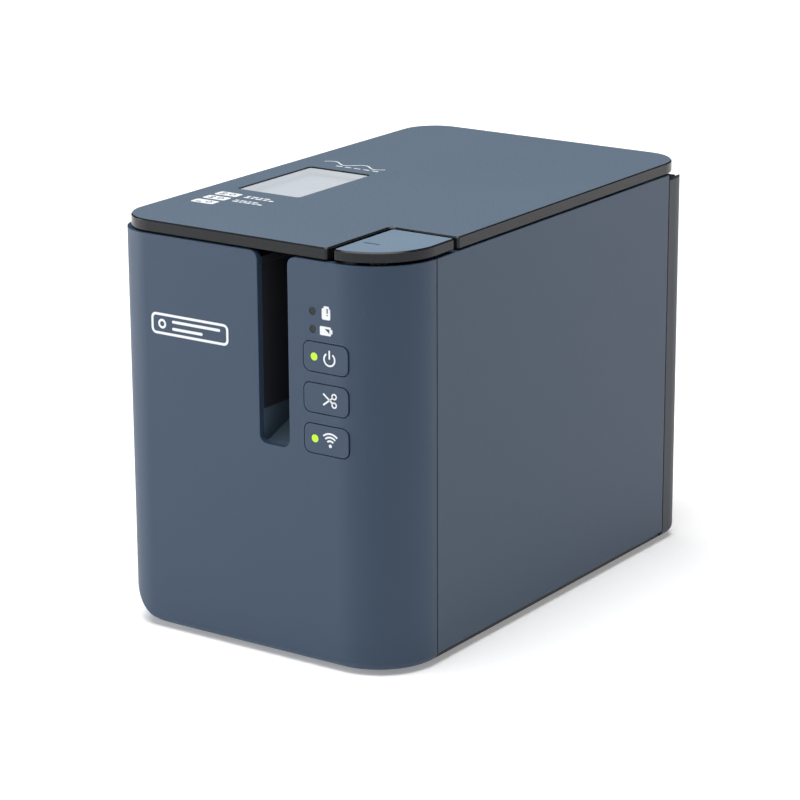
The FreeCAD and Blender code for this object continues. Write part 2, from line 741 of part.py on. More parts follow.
def lid_hook():
    blade = box(stem_x - 2.0, stem_x + 2.0, hook_y - 1.0, hook_y + 1.0, latch_z0 - 3.5, z_lid_under)
    barb = prism_x([
        (hook_y + 1.0, latch_z0 - 3.5, 0), (hook_y + 2.0, latch_z0 - 1.5, 0),
        (hook_y + 2.0, latch_z0 - 0.5, 0), (hook_y + 1.0, latch_z0 - 0.5, 0),
    ], stem_x - 2.0, stem_x + 2.0)
    root = box(stem_x - 4.0, stem_x + 4.0, hook_y - 2.0, hook_y + 3.0, z_lid_under - 1.5, z_lid_under)
    return join(blade, barb, root)


def cassette_pressers():
    x = supply_x - 8.0
    posts = []
    for y in (cassette_y0 + 9.0, cassette_y1 - 12.0):
        posts.append(rod(3.0, x, y, cassette_z1 + 0.3, z_lid_under))
    return group(posts)


# ---- release button ----
def release_outline(inset):
    x0 = notch_x + RELEASE_GAP
    y1 = notch_y - RELEASE_REAR_GAP
    corner = FRONT_RIGHT_RADIUS - LID_RIGHT_INSET
    tip = max(1.0 - inset, 0.3)
    room = min(lid_x1 - x0, y1 - lid_y0) - 2 * inset - tip - 0.2
    return [
        (x0 + inset, lid_y0 + inset, tip),
        (lid_x1 - inset, lid_y0 + inset, min(corner - inset, room)),
        (lid_x1 - inset, y1 - inset, max(1.0 - inset, 0.3)),
        (x0 + inset, y1 - inset, max(1.5 - inset, 0.3)),
    ]


def release_button():
    z0 = z_rim + RELEASE_TRAVEL + RELEASE_STOP_GAP
    solid = bevelled(release_outline, z0, z_top, RELEASE_CHAMFER)
    solid = solid.cut(prism_z(release_outline(RELEASE_WALL), z0 - 1, z_top - RELEASE_TOP))
    half = STEM_SIDE / 2
    stem = prism_x([
        (stem_y - half, latch_z0 - 1.5, 0), (stem_y + half - 4.0 + 0.01, latch_z0 - 1.5, 0),
        (stem_y + half, latch_z0 + 2.5, 0), (stem_y + half, z_top - RELEASE_TOP, 0),
        (stem_y - half, z_top - RELEASE_TOP, 0),
    ], stem_x - half, stem_x + half)
    return join(solid, stem)


def release_spring():
    """A leaf spring: its foot lies on the deck and its bent tip lifts the button."""
    tip_z = z_top - RELEASE_TOP
    y0 = stem_y - SPRING_LENGTH - STEM_SIDE
    y1 = y0 + SPRING_LENGTH
    slope = math.atan2(tip_z - z_deck - SPRING_SHEET, SPRING_LENGTH - SPRING_FOOT - SPRING_TIP)
    setback = SPRING_SHEET * math.tan(slope / 2)
    return prism_x([
        (y0, z_deck, 0), (y0 + SPRING_FOOT, z_deck, 0), (y1 - SPRING_TIP, tip_z - SPRING_SHEET, 0),
        (y1, tip_z - SPRING_SHEET, 0), (y1, tip_z, 0), (y1 - SPRING_TIP - setback, tip_z, 0),
        (y0 + SPRING_FOOT - setback, z_deck + SPRING_SHEET, 0), (y0, z_deck + SPRING_SHEET, 0),
    ], stem_x - SPRING_WIDTH / 2, stem_x + SPRING_WIDTH / 2)


# ---- front buttons, lamps and their board ----
def button(index, lamp):
    z = button_zs[index]
    cap = prism_y(button_outline(z, 0), y_front, y_front + BUTTON_CAP)
    flange = prism_y(button_outline(z, BUTTON_GAP + 0.9), y_inside + 0.5, y_inside + 1.5)
    flange = flange.common(envelope(WALL + 0.4, z_rim, 0))
    stem = rod_y(2.0, button_x, z, y_inside + 1.5, board_front - SWITCH_HEIGHT - BUTTON_TRAVEL - FIT_GAP)
    solid = join(cap, flange, stem)
    if lamp:
        hole = rod_y(LAMP_RADIUS, button_x - LAMP_OFFSET, z, y_front - 1, y_inside + 2)
        solid = solid.cut(hole)
    return solid


def button_lamp(index):
    x = button_x - LAMP_OFFSET
    return rod_y(LAMP_RADIUS, x, button_zs[index], y_front, y_inside + 1.5)


def status_lenses():
    lenses = []
    for z in status_zs:
        lens = rod_y(STATUS_LENS_RADIUS, status_x, z, y_front + 0.15, y_inside)
        lenses.append(lens.fuse(rod_y(STATUS_LENS_RADIUS + 0.6, status_x, z, y_inside, y_inside + 1.0)))
    return group(lenses)


def button_board():
    x0 = button_x - 12.6
    x1 = button_x + 15.0
    z0 = button_zs[2] - 10.5
    z1 = button_zs[0] + 22.0
    solid = prism_y(rectangle(x0, x1, z0, z1, 1.5), board_front, board_front + BOARD_THICKNESS)
    solid = solid.fuse(box(x0 + 8.0, x1 - 8.0, board_front + BOARD_THICKNESS,
                           board_front + BOARD_THICKNESS + 4.0, z0 + 2.0, z0 + 6.0))
    for z in status_zs:
        solid = solid.fuse(rod_y(1.2, status_x, z, board_front - 2.5, board_front))
    for index in (0, 2):
        lamp_x = button_x - LAMP_OFFSET
        solid = solid.fuse(rod_y(1.2, lamp_x, button_zs[index], board_front - 1.4, board_front))
    return solid


def tact_switches():
    switches = []
    for z in button_zs:
        body = box(button_x - 3.0, button_x + 3.0, board_front - 1.6, board_front, z - 3.0, z + 3.0)
        switches.append(body.fuse(rod_y(1.7, button_x, z, board_front - SWITCH_HEIGHT, board_front - 1.6)))
    return group(switches)


# ---- chassis and feed drive ----
post_radius = 3.6


def chassis_plate():
    x0 = x_left + 20.0
    x1 = x_right - 3.5
    y0 = frame_y1
    y1 = y_rear_seam - 22.0
    solid = prism_z(rectangle(x0, x1, y0, y1, 3.0), chassis_z0, chassis_z1)
    solid = solid.cut(rod(2.2, motor_x, motor_y, chassis_z0 - 1, chassis_z1 + 1))
    solid = solid.cut(box(x_right - 34.0, x_right - 14.0, y0 + 20.0, y1 - 20.0,
                          chassis_z0 - 1, chassis_z1 + 1))
    solid = solid.cut(prism_z(rectangle(x0 + 8.0, x0 + 34.0, y1 - 48.0, y1 - 12.0, 5.0),
                              chassis_z0 - 1, chassis_z1 + 1))
    for x, y in ((drive_x, drive_y), (spindle_x, spindle_y), (arm_x, arm_y)):
        solid = solid.cut(rod(1.5, x, y, chassis_z0 - 1, chassis_z1 + 1))
    return solid


def chassis_posts():
    posts = []
    for x, y in screw_places():
        post = rod(post_radius, x, y, z_bottom + BASE_HEIGHT, chassis_z0)
        posts.append(post.cut(rod(1.5, x, y, 0, z_bottom + 7.0)))
    return group(posts)


def gear_studs():
    studs = []
    for x, y in ((drive_x, drive_y), (spindle_x, spindle_y)):
        studs.append(rod(1.5, x, y, chassis_z0, gear_z1 + 1.0))
    return group(studs)


def feed_motor():
    can = rod(12.0, motor_x, motor_y, chassis_z0 - 28.0, chassis_z0 - 0.8)
    flange = prism_z(rectangle(motor_x - 16.0, motor_x + 16.0, motor_y - 7.0, motor_y + 7.0, 3.0),
                     chassis_z0 - 0.8, chassis_z0)
    solid = join(can, flange)
    return solid.cut(rod(2.2, motor_x, motor_y, chassis_z0 - 5.0, chassis_z0 + 1))


drive_phase = 0.0
platen_phase = gear_phase(drive_phase, DRIVE_TEETH, PLATEN_TEETH, 0.0)
spindle_phase = gear_phase(drive_phase, DRIVE_TEETH, SPINDLE_TEETH, SPINDLE_DIRECTION)
motor_phase = gear_phase(drive_phase, DRIVE_TEETH, MOTOR_TEETH, MOTOR_DIRECTION)


def motor_pinion():
    solid = gear_at(MOTOR_TEETH, motor_x, motor_y, gear_z0, gear_z1, motor_phase)
    return join(solid, rod(1.5, motor_x, motor_y, chassis_z0 - 4.5, gear_z0))


def drive_gear():
    solid = gear_at(DRIVE_TEETH, drive_x, drive_y, gear_z0, gear_z1, drive_phase)
    groove = rod(GEAR_MODULE * DRIVE_TEETH / 2 - 3.0, drive_x, drive_y, gear_z1 - 1.0, gear_z1 + 1)
    groove = groove.cut(rod(3.5, drive_x, drive_y, gear_z1 - 2, gear_z1 + 2))
    return solid.cut(groove).cut(rod(1.5 + PIN_CLEARANCE, drive_x, drive_y, gear_z0 - 1, gear_z1 + 1))


def ribbon_spindle():
    solid = gear_at(SPINDLE_TEETH, spindle_x, spindle_y, gear_z0, gear_z1, spindle_phase)
    shaft = rod(3.4, spindle_x, spindle_y, gear_z1, tape_z1 - 4.0)
    solid = join(solid, shaft)
    for i in range(6):
        angle = math.radians(60 * i)
        x = spindle_x + 3.5 * math.cos(angle)
        y = spindle_y + 3.5 * math.sin(angle)
        solid = solid.cut(rod(0.5, x, y, tape_z0 - 2.0, tape_z1))
    return solid.cut(rod(1.5 + PIN_CLEARANCE, spindle_x, spindle_y, gear_z0 - 1, gear_z1 + 1.5))


def ribbon_takeup_reel():
    core = rod(TAKEUP_RADIUS, spindle_x, spindle_y, tape_z0, tape_z1)
    core = core.cut(rod(3.4, spindle_x, spindle_y, tape_z0 - 1, tape_z1 + 1))
    return core


# ---- print head, platen and its arm ----
head_x1 = tape_x - TAPE_THICKNESS / 2 - 0.05


def print_head():
    plate = box(head_x1 - 1.2, head_x1, platen_y - 4.0, platen_y + 4.0, tape_z0 - 1.0, tape_z1 + 1.0)
    line = prism_z([
        (head_x1 - 2.0, platen_y - 3.0, 0), (head_x1 - 1.2, platen_y - 3.0, 0),
        (head_x1 - 1.2, platen_y + 3.0, 0), (head_x1 - 2.0, platen_y + 3.0, 0),
    ], tape_z0 - 1.0, tape_z1 + 1.0)
    return join(plate, line)


def head_bracket():
    x1 = head_x1 - 2.0
    x0 = x1 - 3.4
    foot_z = gear_z1 + 1.5
    upright = box(x0, x1, platen_y - 4.5, platen_y + 5.5, foot_z, tape_z1 + 2.0)
    for i in range(4):
        z = tape_z0 + 3.0 + i * 8.0
        upright = upright.cut(box(x0 - 1, x0 + 1.6, platen_y - 5, platen_y + 6, z, z + 4.5))
    foot = box(x0 - 3.0, x1, bay_y0 + 1.0, platen_y + 5.5, foot_z, foot_z + 2.0)
    leg = box(x0 - 3.0, x1, bay_y0 + 1.0, bay_y0 + 4.0, chassis_z1, foot_z)
    return join(upright, foot, leg)


arm_bottom = tape_z0 - 3.0
arm_top = tape_z1 + 3.0


def arm_pivot_pin():
    neck = rod(1.5, arm_x, arm_y, chassis_z0, chassis_z1)
    return join(neck, rod(ARM_PIN_RADIUS, arm_x, arm_y, chassis_z1, arm_top + 3.0))


def roller_arm():
    plate = [
        (platen_x - 4.4, platen_y - 5.5, 4.0), (arm_x + 2.0, platen_y - 5.5, 3.0),
        (arm_x + 4.5, arm_y + 5.0, 4.0), (arm_x - 4.5, arm_y + 5.0, 4.0),
        (arm_x - 4.5, platen_y + 18.0, 3.0), (platen_x - 4.4, platen_y + 7.0, 3.0),
    ]
    lower = prism_z(plate, arm_bottom, arm_bottom + 2.0)
    upper = prism_z(plate, arm_top - 2.0, arm_top)
    web = box(arm_x - 0.8, arm_x + 1.2, platen_y - 4.0, arm_y, arm_bottom, arm_top)
    barrel = rod(ARM_PIN_RADIUS + 2.0, arm_x, arm_y, arm_bottom, arm_top)
    solid = join(lower, upper, web, barrel)
    solid = solid.cut(rod(ARM_PIN_RADIUS + PIN_CLEARANCE, arm_x, arm_y, arm_bottom - 1, arm_top + 1))
    for z in (arm_bottom - 1, arm_top - 3.0):
        solid = solid.cut(rod(PLATEN_SHAFT_RADIUS + PIN_CLEARANCE, platen_x, platen_y, z, z + 4.0))
    return solid


def platen_shaft():
    return rod(PLATEN_SHAFT_RADIUS, platen_x, platen_y, gear_z0, arm_top + 1.0)


def platen_roller():
    tube = rod(PLATEN_RADIUS, platen_x, platen_y, tape_z0 - 0.5, tape_z1 + 0.5)
    return tube.cut(rod(PLATEN_SHAFT_RADIUS, platen_x, platen_y, tape_z0 - 1, tape_z1 + 1))


def platen_gear():
    solid = gear_at(PLATEN_TEETH, platen_x, platen_y, gear_z0, gear_z1, platen_phase)
    return solid.cut(rod(PLATEN_SHAFT_RADIUS, platen_x, platen_y, gear_z0 - 1, gear_z1 + 1))


# ---- cutter ----
def front_bulkhead():
    x0 = x_left + LEFT_BOTTOM_RADIUS + 2.0
    x1 = x_right - 12.0
    outline = rectangle(x0, x1, z_bottom + BASE_HEIGHT, chassis_z1 + 2.0, 2.0)
    solid = prism_y(outline, bulkhead_y0, bulkhead_y1)
    top = box(slot_x0 - 2.0, slot_x1 + 2.0, bulkhead_y0 - 1, bulkhead_y1 + 1, slot_z - 3.0, z_top)
    solid = solid.cut(top)
    return solid.cut(rod_y(1.6, blade_x, cutter_axis_z, bulkhead_y0 - 1, bulkhead_y1 + 1))


def cutter_motor():
    can = rod_y(7.5, blade_x, cutter_axis_z, bulkhead_y0 - 20.0, bulkhead_y0)
    return can.cut(rod_y(1.6, blade_x, cutter_axis_z, bulkhead_y0 - 4.0, bulkhead_y0 + 1))


sector_phase = 90.0 - 10.0
cutter_phase = gear_phase(sector_phase, SECTOR_TEETH, CUTTER_TEETH, 90.0)


def cutter_pinion():
    solid = gear(CUTTER_TEETH, moving_y0 - sector_y0, cutter_phase)
    solid = turned_to_y(solid, blade_x, sector_y0, cutter_axis_z)
    return join(solid, rod_y(1.5, blade_x, cutter_axis_z, bulkhead_y0 - 3.5, sector_y0))


def moving_blade():
    """The swinging blade and the sector gear that turns it, drawn closed and then opened."""
    blade = profile([
        (blade_x, blade_z, 0), (blade_x, blade_z + BLADE_LENGTH, 0),
        (blade_x - 2.5, blade_z + BLADE_LENGTH + 2.0, 0),
        (blade_x - BLADE_WIDTH, blade_z + BLADE_LENGTH - 2.0, 1.5), (blade_x - BLADE_WIDTH, blade_z, 1.5),
    ]).extrude(V(0, 0, -BLADE_THICKNESS))
    blade.rotate(V(0, 0, 0), V(1, 0, 0), 90)
    blade.translate(V(0, moving_y0, 0))
    blade.rotate(V(blade_x, 0, blade_z), V(0, 1, 0), -BLADE_OPEN_ANGLE)
    hub = rod_y(5.0, blade_x, blade_z, sector_y0, moving_y1)
    sector = gear(SECTOR_TEETH, moving_y0 - sector_y0, sector_phase)
    reach = GEAR_MODULE * SECTOR_TEETH
    wedge = prism_z([
        (0, -3.0, 0),
        (reach * math.cos(math.radians(52)), reach * math.sin(math.radians(52)), 0),
        (reach * math.cos(math.radians(108)), reach * math.sin(math.radians(108)), 0),
    ], -1, moving_y0 - sector_y0 + 1)
    sector = turned_to_y(sector.common(wedge), blade_x, sector_y0, blade_z)
    solid = join(blade, hub, sector)
    return solid.cut(rod_y(BLADE_PIN_RADIUS + PIN_CLEARANCE, blade_x, blade_z, sector_y0 - 1, moving_y1 + 1))


def blade_pivot_pin():
    pin = rod_y(BLADE_PIN_RADIUS, blade_x, blade_z, sector_y0 - 0.8, frame_y1)
    return pin


def fixed_blade():
    return prism_y([
        (tape_x + 0.45, tape_z0 - 3.0, 0), (tape_x + 8.0, tape_z0 - 3.0, 1.0),
        (tape_x + 8.0, tape_z1 + 4.0, 1.0), (tape_x + 0.45, tape_z1 + 4.0, 0),
    ], fixed_y0, frame_y0)


def cutter_frame():
    x0 = tape_x - 24.0
    x1 = tape_x + 20.0
    z1 = z_under_deck - 3.0
    plate = prism_y(rectangle(x0, x1, chassis_z1, z1, 0.5), frame_y0, frame_y1)
    gate = box(tape_x - 3.5, tape_x + 3.5, frame_y0 - 1, frame_y1 + 1, tape_z0 - 4.0, z1 + 1)
    solid = plate.cut(gate)
    for foot_x0, foot_x1 in ((x0, tape_x - 17.0), (tape_x + 1.0, x1)):
        solid = solid.fuse(box(foot_x0, foot_x1, frame_y0, frame_y1 + 6.0, chassis_z1, chassis_z1 + SHEET))
    return solid.removeSplitter().cut(rod_y(BLADE_PIN_RADIUS, blade_x, blade_z, frame_y0 - 1, frame_y1 + 1))


# ---- tape cassette ----
def cassette_outline(inset):
    cut_x = cassette_x1 - CASSETTE_NOTCH_WIDTH
    cut_y = cassette_y0 + CASSETTE_NOTCH_DEPTH
    return notched(cassette_x0, cassette_x1, cassette_y0, cassette_y1, cut_x, cut_y,
                   (3.0, 1.0, 3.0, 3.0, 1.5), inset)


cassette_split = cassette_z1 - 12.0


def cassette_case():
    solid = prism_z(cassette_outline(0), cassette_z0, cassette_split)
    inside = cassette_outline(CASSETTE_WALL)
    solid = solid.cut(prism_z(inside, cassette_z0 + CASSETTE_WALL, cassette_split + 1))
    exit_y = cassette_y0 + CASSETTE_NOTCH_DEPTH
    solid = solid.cut(box(tape_x - 1.2, tape_x + 0.6, exit_y - 1, exit_y + CASSETTE_WALL + 1,
                          tape_z0 - 1.0, cassette_split + 1))
    solid = solid.cut(rod(4.2, spindle_x, spindle_y, cassette_z0 - 1, cassette_z0 + CASSETTE_WALL + 1))
    hubs = ((roll_x, roll_y, ROLL_BORE), (supply_x, supply_y, SUPPLY_BORE))
    for x, y, radius in hubs:
        solid = solid.fuse(rod(radius - 0.06, x, y, cassette_z0, tape_z1 - 6.0))
    return solid.removeSplitter()


def cassette_cover():
    solid = prism_z(cassette_outline(0), cassette_split, cassette_z1)
    inside = cassette_outline(CASSETTE_WALL)
    solid = solid.cut(prism_z(inside, cassette_split - 1, cassette_z1 - CASSETTE_WALL))
    exit_y = cassette_y0 + CASSETTE_NOTCH_DEPTH
    solid = solid.cut(box(tape_x - 1.2, tape_x + 0.6, exit_y - 1, exit_y + CASSETTE_WALL + 1,
                          cassette_split - 1, tape_z1 + 1.0))
    solid = solid.cut(rod(4.2, spindle_x, spindle_y, cassette_z1 - CASSETTE_WALL - 1, cassette_z1 + 1))
    view = rectangle(roll_x - 10.0, roll_x + 12.0, roll_y - 16.0, roll_y - 4.0, 1.5)
    return solid.cut(prism_z(view, cassette_z1 - CASSETTE_WALL - 1, cassette_z1 + 1))


def reel(x, y, radius, bore, z0, z1):
    return rod(radius, x, y, z0, z1).cut(rod(bore, x, y, z0 - 1, z1 + 1))


def label_roll():
    return reel(roll_x, roll_y, ROLL_RADIUS, ROLL_BORE, tape_z0, tape_z1)


def ribbon_supply_reel():
    return reel(supply_x, supply_y, SUPPLY_RADIUS, SUPPLY_BORE, tape_z0, tape_z1)


def label_strip():
    """The tape from the roll's back, round a bend inside the case, past the head to the cutter."""
    half = TAPE_THICKNESS / 2
    bend = 10.0
    line_y = roll_y + ROLL_RADIUS + 0.3
    run = box(tape_x - half, tape_x + half, fixed_y0 + 0.3, line_y - bend, tape_z0, tape_z1)
    centre = (tape_x - bend, line_y - bend)
    ring = rod(bend + half, centre[0], centre[1], tape_z0, tape_z1)
    ring = ring.cut(rod(bend - half, centre[0], centre[1], tape_z0 - 1, tape_z1 + 1))
    quarter = box(centre[0], centre[0] + bend + 1, centre[1], centre[1] + bend + 1, tape_z0, tape_z1)
    lead = box(roll_x, centre[0], line_y - half, line_y + half, tape_z0, tape_z1)
    return join(run, ring.common(quarter), lead)


# ---- electronics ----
def main_board():
    solid = prism_z(rectangle(board_x0, board_x1, board_y0, board_y1, 2.0), board_z0, board_z1)
    for x, y in screw_places():
        if y > board_y0:
            solid = solid.cut(rod(post_radius + 0.8, x, y, board_z0 - 1, board_z1 + 1))
    return solid


def board_components():
    parts = []
    middle = (board_x0 + board_x1) / 2
    chips = (
        (middle - 6.0, board_y0 + 44.0, 16.0, 16.0, 1.6),
        (middle + 18.0, board_y0 + 40.0, 12.0, 9.0, 1.4),
        (middle + 17.0, board_y0 + 58.0, 8.0, 8.0, 1.2),
        (middle - 24.0, board_y0 + 28.0, 10.0, 6.0, 2.0),
        (middle + 2.0, board_y0 + 14.0, 24.0, 5.0, 6.0),
        (middle - 8.0, board_y0 + 70.0, 9.0, 9.0, 4.5),
    )
    for x, y, width, length, height in chips:
        parts.append(box(x, x + width, y, y + length, board_z1, board_z1 + height))
    for i in range(3):
        parts.append(rod(5.0, board_x1 - 12.0, board_y0 + 40.0 + 13.0 * i, board_z1, board_z1 + 13.0))
    for i in range(5):
        x = board_x0 + 14.0 + 5.0 * i
        parts.append(box(x, x + 2.0, board_y0 + 12.0, board_y0 + 13.2, board_z1, board_z1 + 0.8))
    return group(parts)


def wireless_module():
    x1 = x_right - WALL - 1.5
    y1 = y_rear_seam - 4.0
    z1 = chassis_z0 - 12.0
    board = box(x1 - 1.0, x1, y1 - 20.0, y1, z1 - 18.0, z1)
    shield = box(x1 - 3.2, x1 - 1.0, y1 - 17.0, y1 - 6.0, z1 - 16.0, z1 - 2.0)
    spacer = box(x1, x_right - WALL, y1 - 12.0, y1 - 6.0, z1 - 12.0, z1 - 6.0)
    return join(board, shield, spacer)


def socket(name, lining):
    """A socket body from inside the case to just short of the rear wall's outer face."""
    for port, x, width, height in PORTS:
        if port == name:
            body = box(x - width / 2, x + width / 2, socket_y - SOCKET_DEPTH, socket_y,
                       board_z1, board_z1 + height)
            middle_z = board_z1 + height / 2
            return body.cut(lining(x, middle_z)), x, middle_z


def dc_inlet():
    y1 = socket_y
    body, x, z = socket("dc", lambda x, z: rod_y(3.2, x, z, y1 - 10.0, y1 + 1))
    return body.fuse(rod_y(0.8, x, z, y1 - 10.0, y1 - 1.0)).removeSplitter()


def usb_socket():
    y1 = socket_y

    def hole(x, z):
        corners = [
            (x - 4.2, z - 3.9, 0.3), (x + 4.2, z - 3.9, 0.3), (x + 4.2, z + 2.2, 0.3),
            (x + 2.6, z + 3.9, 0.3), (x - 2.6, z + 3.9, 0.3), (x - 4.2, z + 2.2, 0.3),
        ]
        return prism_y(corners, y1 - 9.0, y1 + 1)

    body, x, z = socket("usb", hole)
    return body.fuse(box(x - 2.8, x + 2.8, y1 - 9.0, y1 - 1.0, z - 1.5, z + 1.5)).removeSplitter()


def serial_socket():
    y1 = socket_y
    body, x, z = socket("serial", lambda x, z: box(x - 5.0, x + 5.0, y1 - 11.0, y1 + 1, z - 3.6, z + 3.6))
    body = body.cut(box(x - 1.8, x + 1.8, y1 - 4.0, y1 + 1, z - 5.0, z - 3.5))
    for i in range(6):
        contact_x = x - 3.25 + 1.3 * i
        body = body.fuse(box(contact_x - 0.25, contact_x + 0.25, y1 - 9.0, y1 - 2.0, z + 3.2, z + 3.6))
    return body.removeSplitter()


def parts():
    """Every node of the label maker by name."""
    nodes = {
        "base_tray": base_tray(),
        "front_cover": front_cover(),
        "right_side_panel": side_panel("right"),
        "left_side_panel": side_panel("left"),
        "rear_cover": rear_cover(),
        "rubber_feet": rubber_feet(),
        "base_screws": base_screws(),
        "top_deck": top_deck(),
        "cassette_bay": cassette_bay(),
        "outlet_chute": outlet_chute(),
        "hinge_pins": hinge_pins(),
        "latch_guide": latch_guide(),
        "latch_slider": latch_slider(),
        "top_lid": top_lid(),
        "lid_window": lid_window(),
        "lid_hook": lid_hook(),
        "cassette_pressers": cassette_pressers(),
        "release_button": release_button(),
        "release_spring": release_spring(),
        "power_button": button(0, True),
        "power_lamp": button_lamp(0),
        "cut_button": button(1, False),
        "wireless_button": button(2, True),
        "wireless_lamp": button_lamp(2),
        "status_lenses": status_lenses(),
        "button_board": button_board(),
        "tact_switches": tact_switches(),
        "chassis_plate": chassis_plate(),
        "chassis_posts": chassis_posts(),
        "gear_studs": gear_studs(),
        "feed_motor": feed_motor(),
        "motor_pinion": motor_pinion(),
        "drive_gear": drive_gear(),
        "ribbon_spindle": ribbon_spindle(),
        "ribbon_takeup_reel": ribbon_takeup_reel(),
        "print_head": print_head(),
        "head_bracket": head_bracket(),
        "arm_pivot_pin": arm_pivot_pin(),
        "roller_arm": roller_arm(),
        "platen_shaft": platen_shaft(),
        "platen_roller": platen_roller(),
        "platen_gear": platen_gear(),
        "front_bulkhead": front_bulkhead(),
        "cutter_motor": cutter_motor(),
        "cutter_pinion": cutter_pinion(),
        "moving_blade": moving_blade(),
        "blade_pivot_pin": blade_pivot_pin(),
        "fixed_blade": fixed_blade(),
        "cutter_frame": cutter_frame(),
        "cassette_case": cassette_case(),
        "cassette_cover": cassette_cover(),
        "label_roll": label_roll(),
        "ribbon_supply_reel": ribbon_supply_reel(),
        "label_strip": label_strip(),
        "main_board": main_board(),
        "board_components": board_components(),
        "wireless_module": wireless_module(),
        "dc_inlet": dc_inlet(),
        "usb_socket": usb_socket(),
        "serial_socket": serial_socket(),
    }
    return nodes


os.makedirs("parts", exist_ok=True)
for node, shape in parts().items():
    shape.exportStep(os.path.join("parts", node + ".step"))
    print(node, len(shape.Solids), shape.isValid(), round(shape.Volume, 1))
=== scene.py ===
import json
import math

import bmesh
import bpy
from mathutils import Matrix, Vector


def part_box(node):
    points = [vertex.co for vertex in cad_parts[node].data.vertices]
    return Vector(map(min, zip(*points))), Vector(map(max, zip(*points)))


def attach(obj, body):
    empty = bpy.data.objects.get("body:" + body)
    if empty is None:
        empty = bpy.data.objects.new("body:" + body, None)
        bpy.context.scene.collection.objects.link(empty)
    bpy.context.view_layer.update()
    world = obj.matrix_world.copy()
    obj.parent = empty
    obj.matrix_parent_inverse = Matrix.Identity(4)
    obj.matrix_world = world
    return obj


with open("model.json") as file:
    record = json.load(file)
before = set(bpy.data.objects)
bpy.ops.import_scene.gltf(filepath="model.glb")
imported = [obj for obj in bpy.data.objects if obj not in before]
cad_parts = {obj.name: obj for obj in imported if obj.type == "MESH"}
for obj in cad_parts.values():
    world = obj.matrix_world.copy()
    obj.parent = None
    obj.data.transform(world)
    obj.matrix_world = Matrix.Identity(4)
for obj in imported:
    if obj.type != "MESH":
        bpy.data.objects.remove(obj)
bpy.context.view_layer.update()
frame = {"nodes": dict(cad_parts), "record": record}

MM = 0.001

# ---- colours, linear ----
SLATE = (0.030, 0.057, 0.100)
# painted light: a lighter slate standing for light from the front falling on the foot of the outlet chute
SLATE_LIT = (0.075, 0.112, 0.155)
SLATE_DARK = (0.030, 0.036, 0.046)
NEAR_BLACK = (0.012, 0.013, 0.016)
INNER_BLACK = (0.024, 0.025, 0.031)
LID_GREY = (0.108, 0.147, 0.196)
KEY_GREY = (0.165, 0.228, 0.302)
INK = (0.80, 0.83, 0.86)
LAMP = (0.40, 0.74, 0.01)
RUBBER = (0.02, 0.02, 0.021)
PLATED_STEEL = (0.60, 0.61, 0.63)
GROUND_STEEL = (0.70, 0.71, 0.73)
MOTOR_STEEL = (0.50, 0.51, 0.53)
TINPLATE = (0.66, 0.66, 0.67)
ALUMINIUM = (0.78, 0.79, 0.81)
ACETAL = (0.72, 0.71, 0.66)
CERAMIC = (0.60, 0.55, 0.47)
SOLDER_MASK = (0.010, 0.085, 0.035)
CASSETTE_GREY = (0.50, 0.53, 0.56)
TAPE = (0.82, 0.82, 0.79)
TAPE_LINE = (0.55, 0.55, 0.54)
RIBBON = (0.015, 0.015, 0.018)
RIBBON_LINE = (0.06, 0.06, 0.07)
PAPER = (0.86, 0.87, 0.87)
PANE = (0.74, 0.80, 0.86)
PANE_HAZE = (0.84, 0.89, 0.94)
PANE_ALPHA = 0.7
PANE_IOR = 1.49

# ---- sizes on the object that the frame has no node for ----
# height of the painted light band at the foot of the outlet chute
CHUTE_PAINTED_LIGHT_HEIGHT = 12.5 * MM
MAKER_MARK_RIGHT = 33.6 * MM
MAKER_MARK_HEIGHT = 110.6 * MM

# ---- studio, in metres and watts: name, azimuth, elevation, width, height, power ----
LIGHT_DISTANCE = 1.6
LIGHTS = (
    ("key_left", -60, 0, 0.9, 1.1, 28.0),
    ("side_right", 143, 2, 0.9, 1.1, 7.5),
    ("overhead", -10, 83, 1.4, 1.4, 38.0),
)
WORLD_STRENGTH = 0.04
FLOOR_RADIUS = 6.0
FLOOR_DARK = (0.93, 0.93, 0.93)
FLOOR_PALE = (0.95, 0.95, 0.95)
GLOW_STARTS = 0.45
GLOW_FULL = 1.4
GLOW_NEAR = 0.24
GLOW_FAR = 0.85

# ---- camera, in degrees and metres; the lens is in millimetres ----
CAMERA_AZIMUTH = 34.526
CAMERA_ELEVATION = 16.521
CAMERA_ROLL = -0.273
CAMERA_DISTANCE = 1.10318
CAMERA_TARGET = Vector((-0.003599, -0.002833, 0.066073))
CAMERA_LENS = 137.4


# ---- node helpers ----
def new_material(name):
    material = bpy.data.materials.new(name)
    material.use_nodes = True
    nodes = material.node_tree.nodes
    return material, nodes, material.node_tree.links, nodes["Principled BSDF"]


def object_coordinates(nodes):
    return nodes.new("ShaderNodeTexCoord").outputs["Object"]


def noise(nodes, links, vector, per_metre, detail=2.0, roughness=0.5):
    node = nodes.new("ShaderNodeTexNoise")
    node.inputs["Scale"].default_value = per_metre
    node.inputs["Detail"].default_value = detail
    node.inputs["Roughness"].default_value = roughness
    links.new(vector, node.inputs["Vector"])
    return node.outputs["Fac"]


def cells(nodes, links, vector, per_metre):
    node = nodes.new("ShaderNodeTexVoronoi")
    node.inputs["Scale"].default_value = per_metre
    links.new(vector, node.inputs["Vector"])
    return node.outputs["Distance"]


def remap(nodes, links, value, low, high, to_low, to_high):
    node = nodes.new("ShaderNodeMapRange")
    node.inputs["From Min"].default_value = low
    node.inputs["From Max"].default_value = high
    node.inputs["To Min"].default_value = to_low
    node.inputs["To Max"].default_value = to_high
    links.new(value, node.inputs["Value"])
    return node.outputs["Result"]


def maths(nodes, links, operation, a, b):
    node = nodes.new("ShaderNodeMath")
    node.operation = operation
    for socket, value in zip(node.inputs, (a, b)):
        if isinstance(value, (int, float)):
            socket.default_value = value
        else:
            links.new(value, socket)
    return node.outputs["Value"]


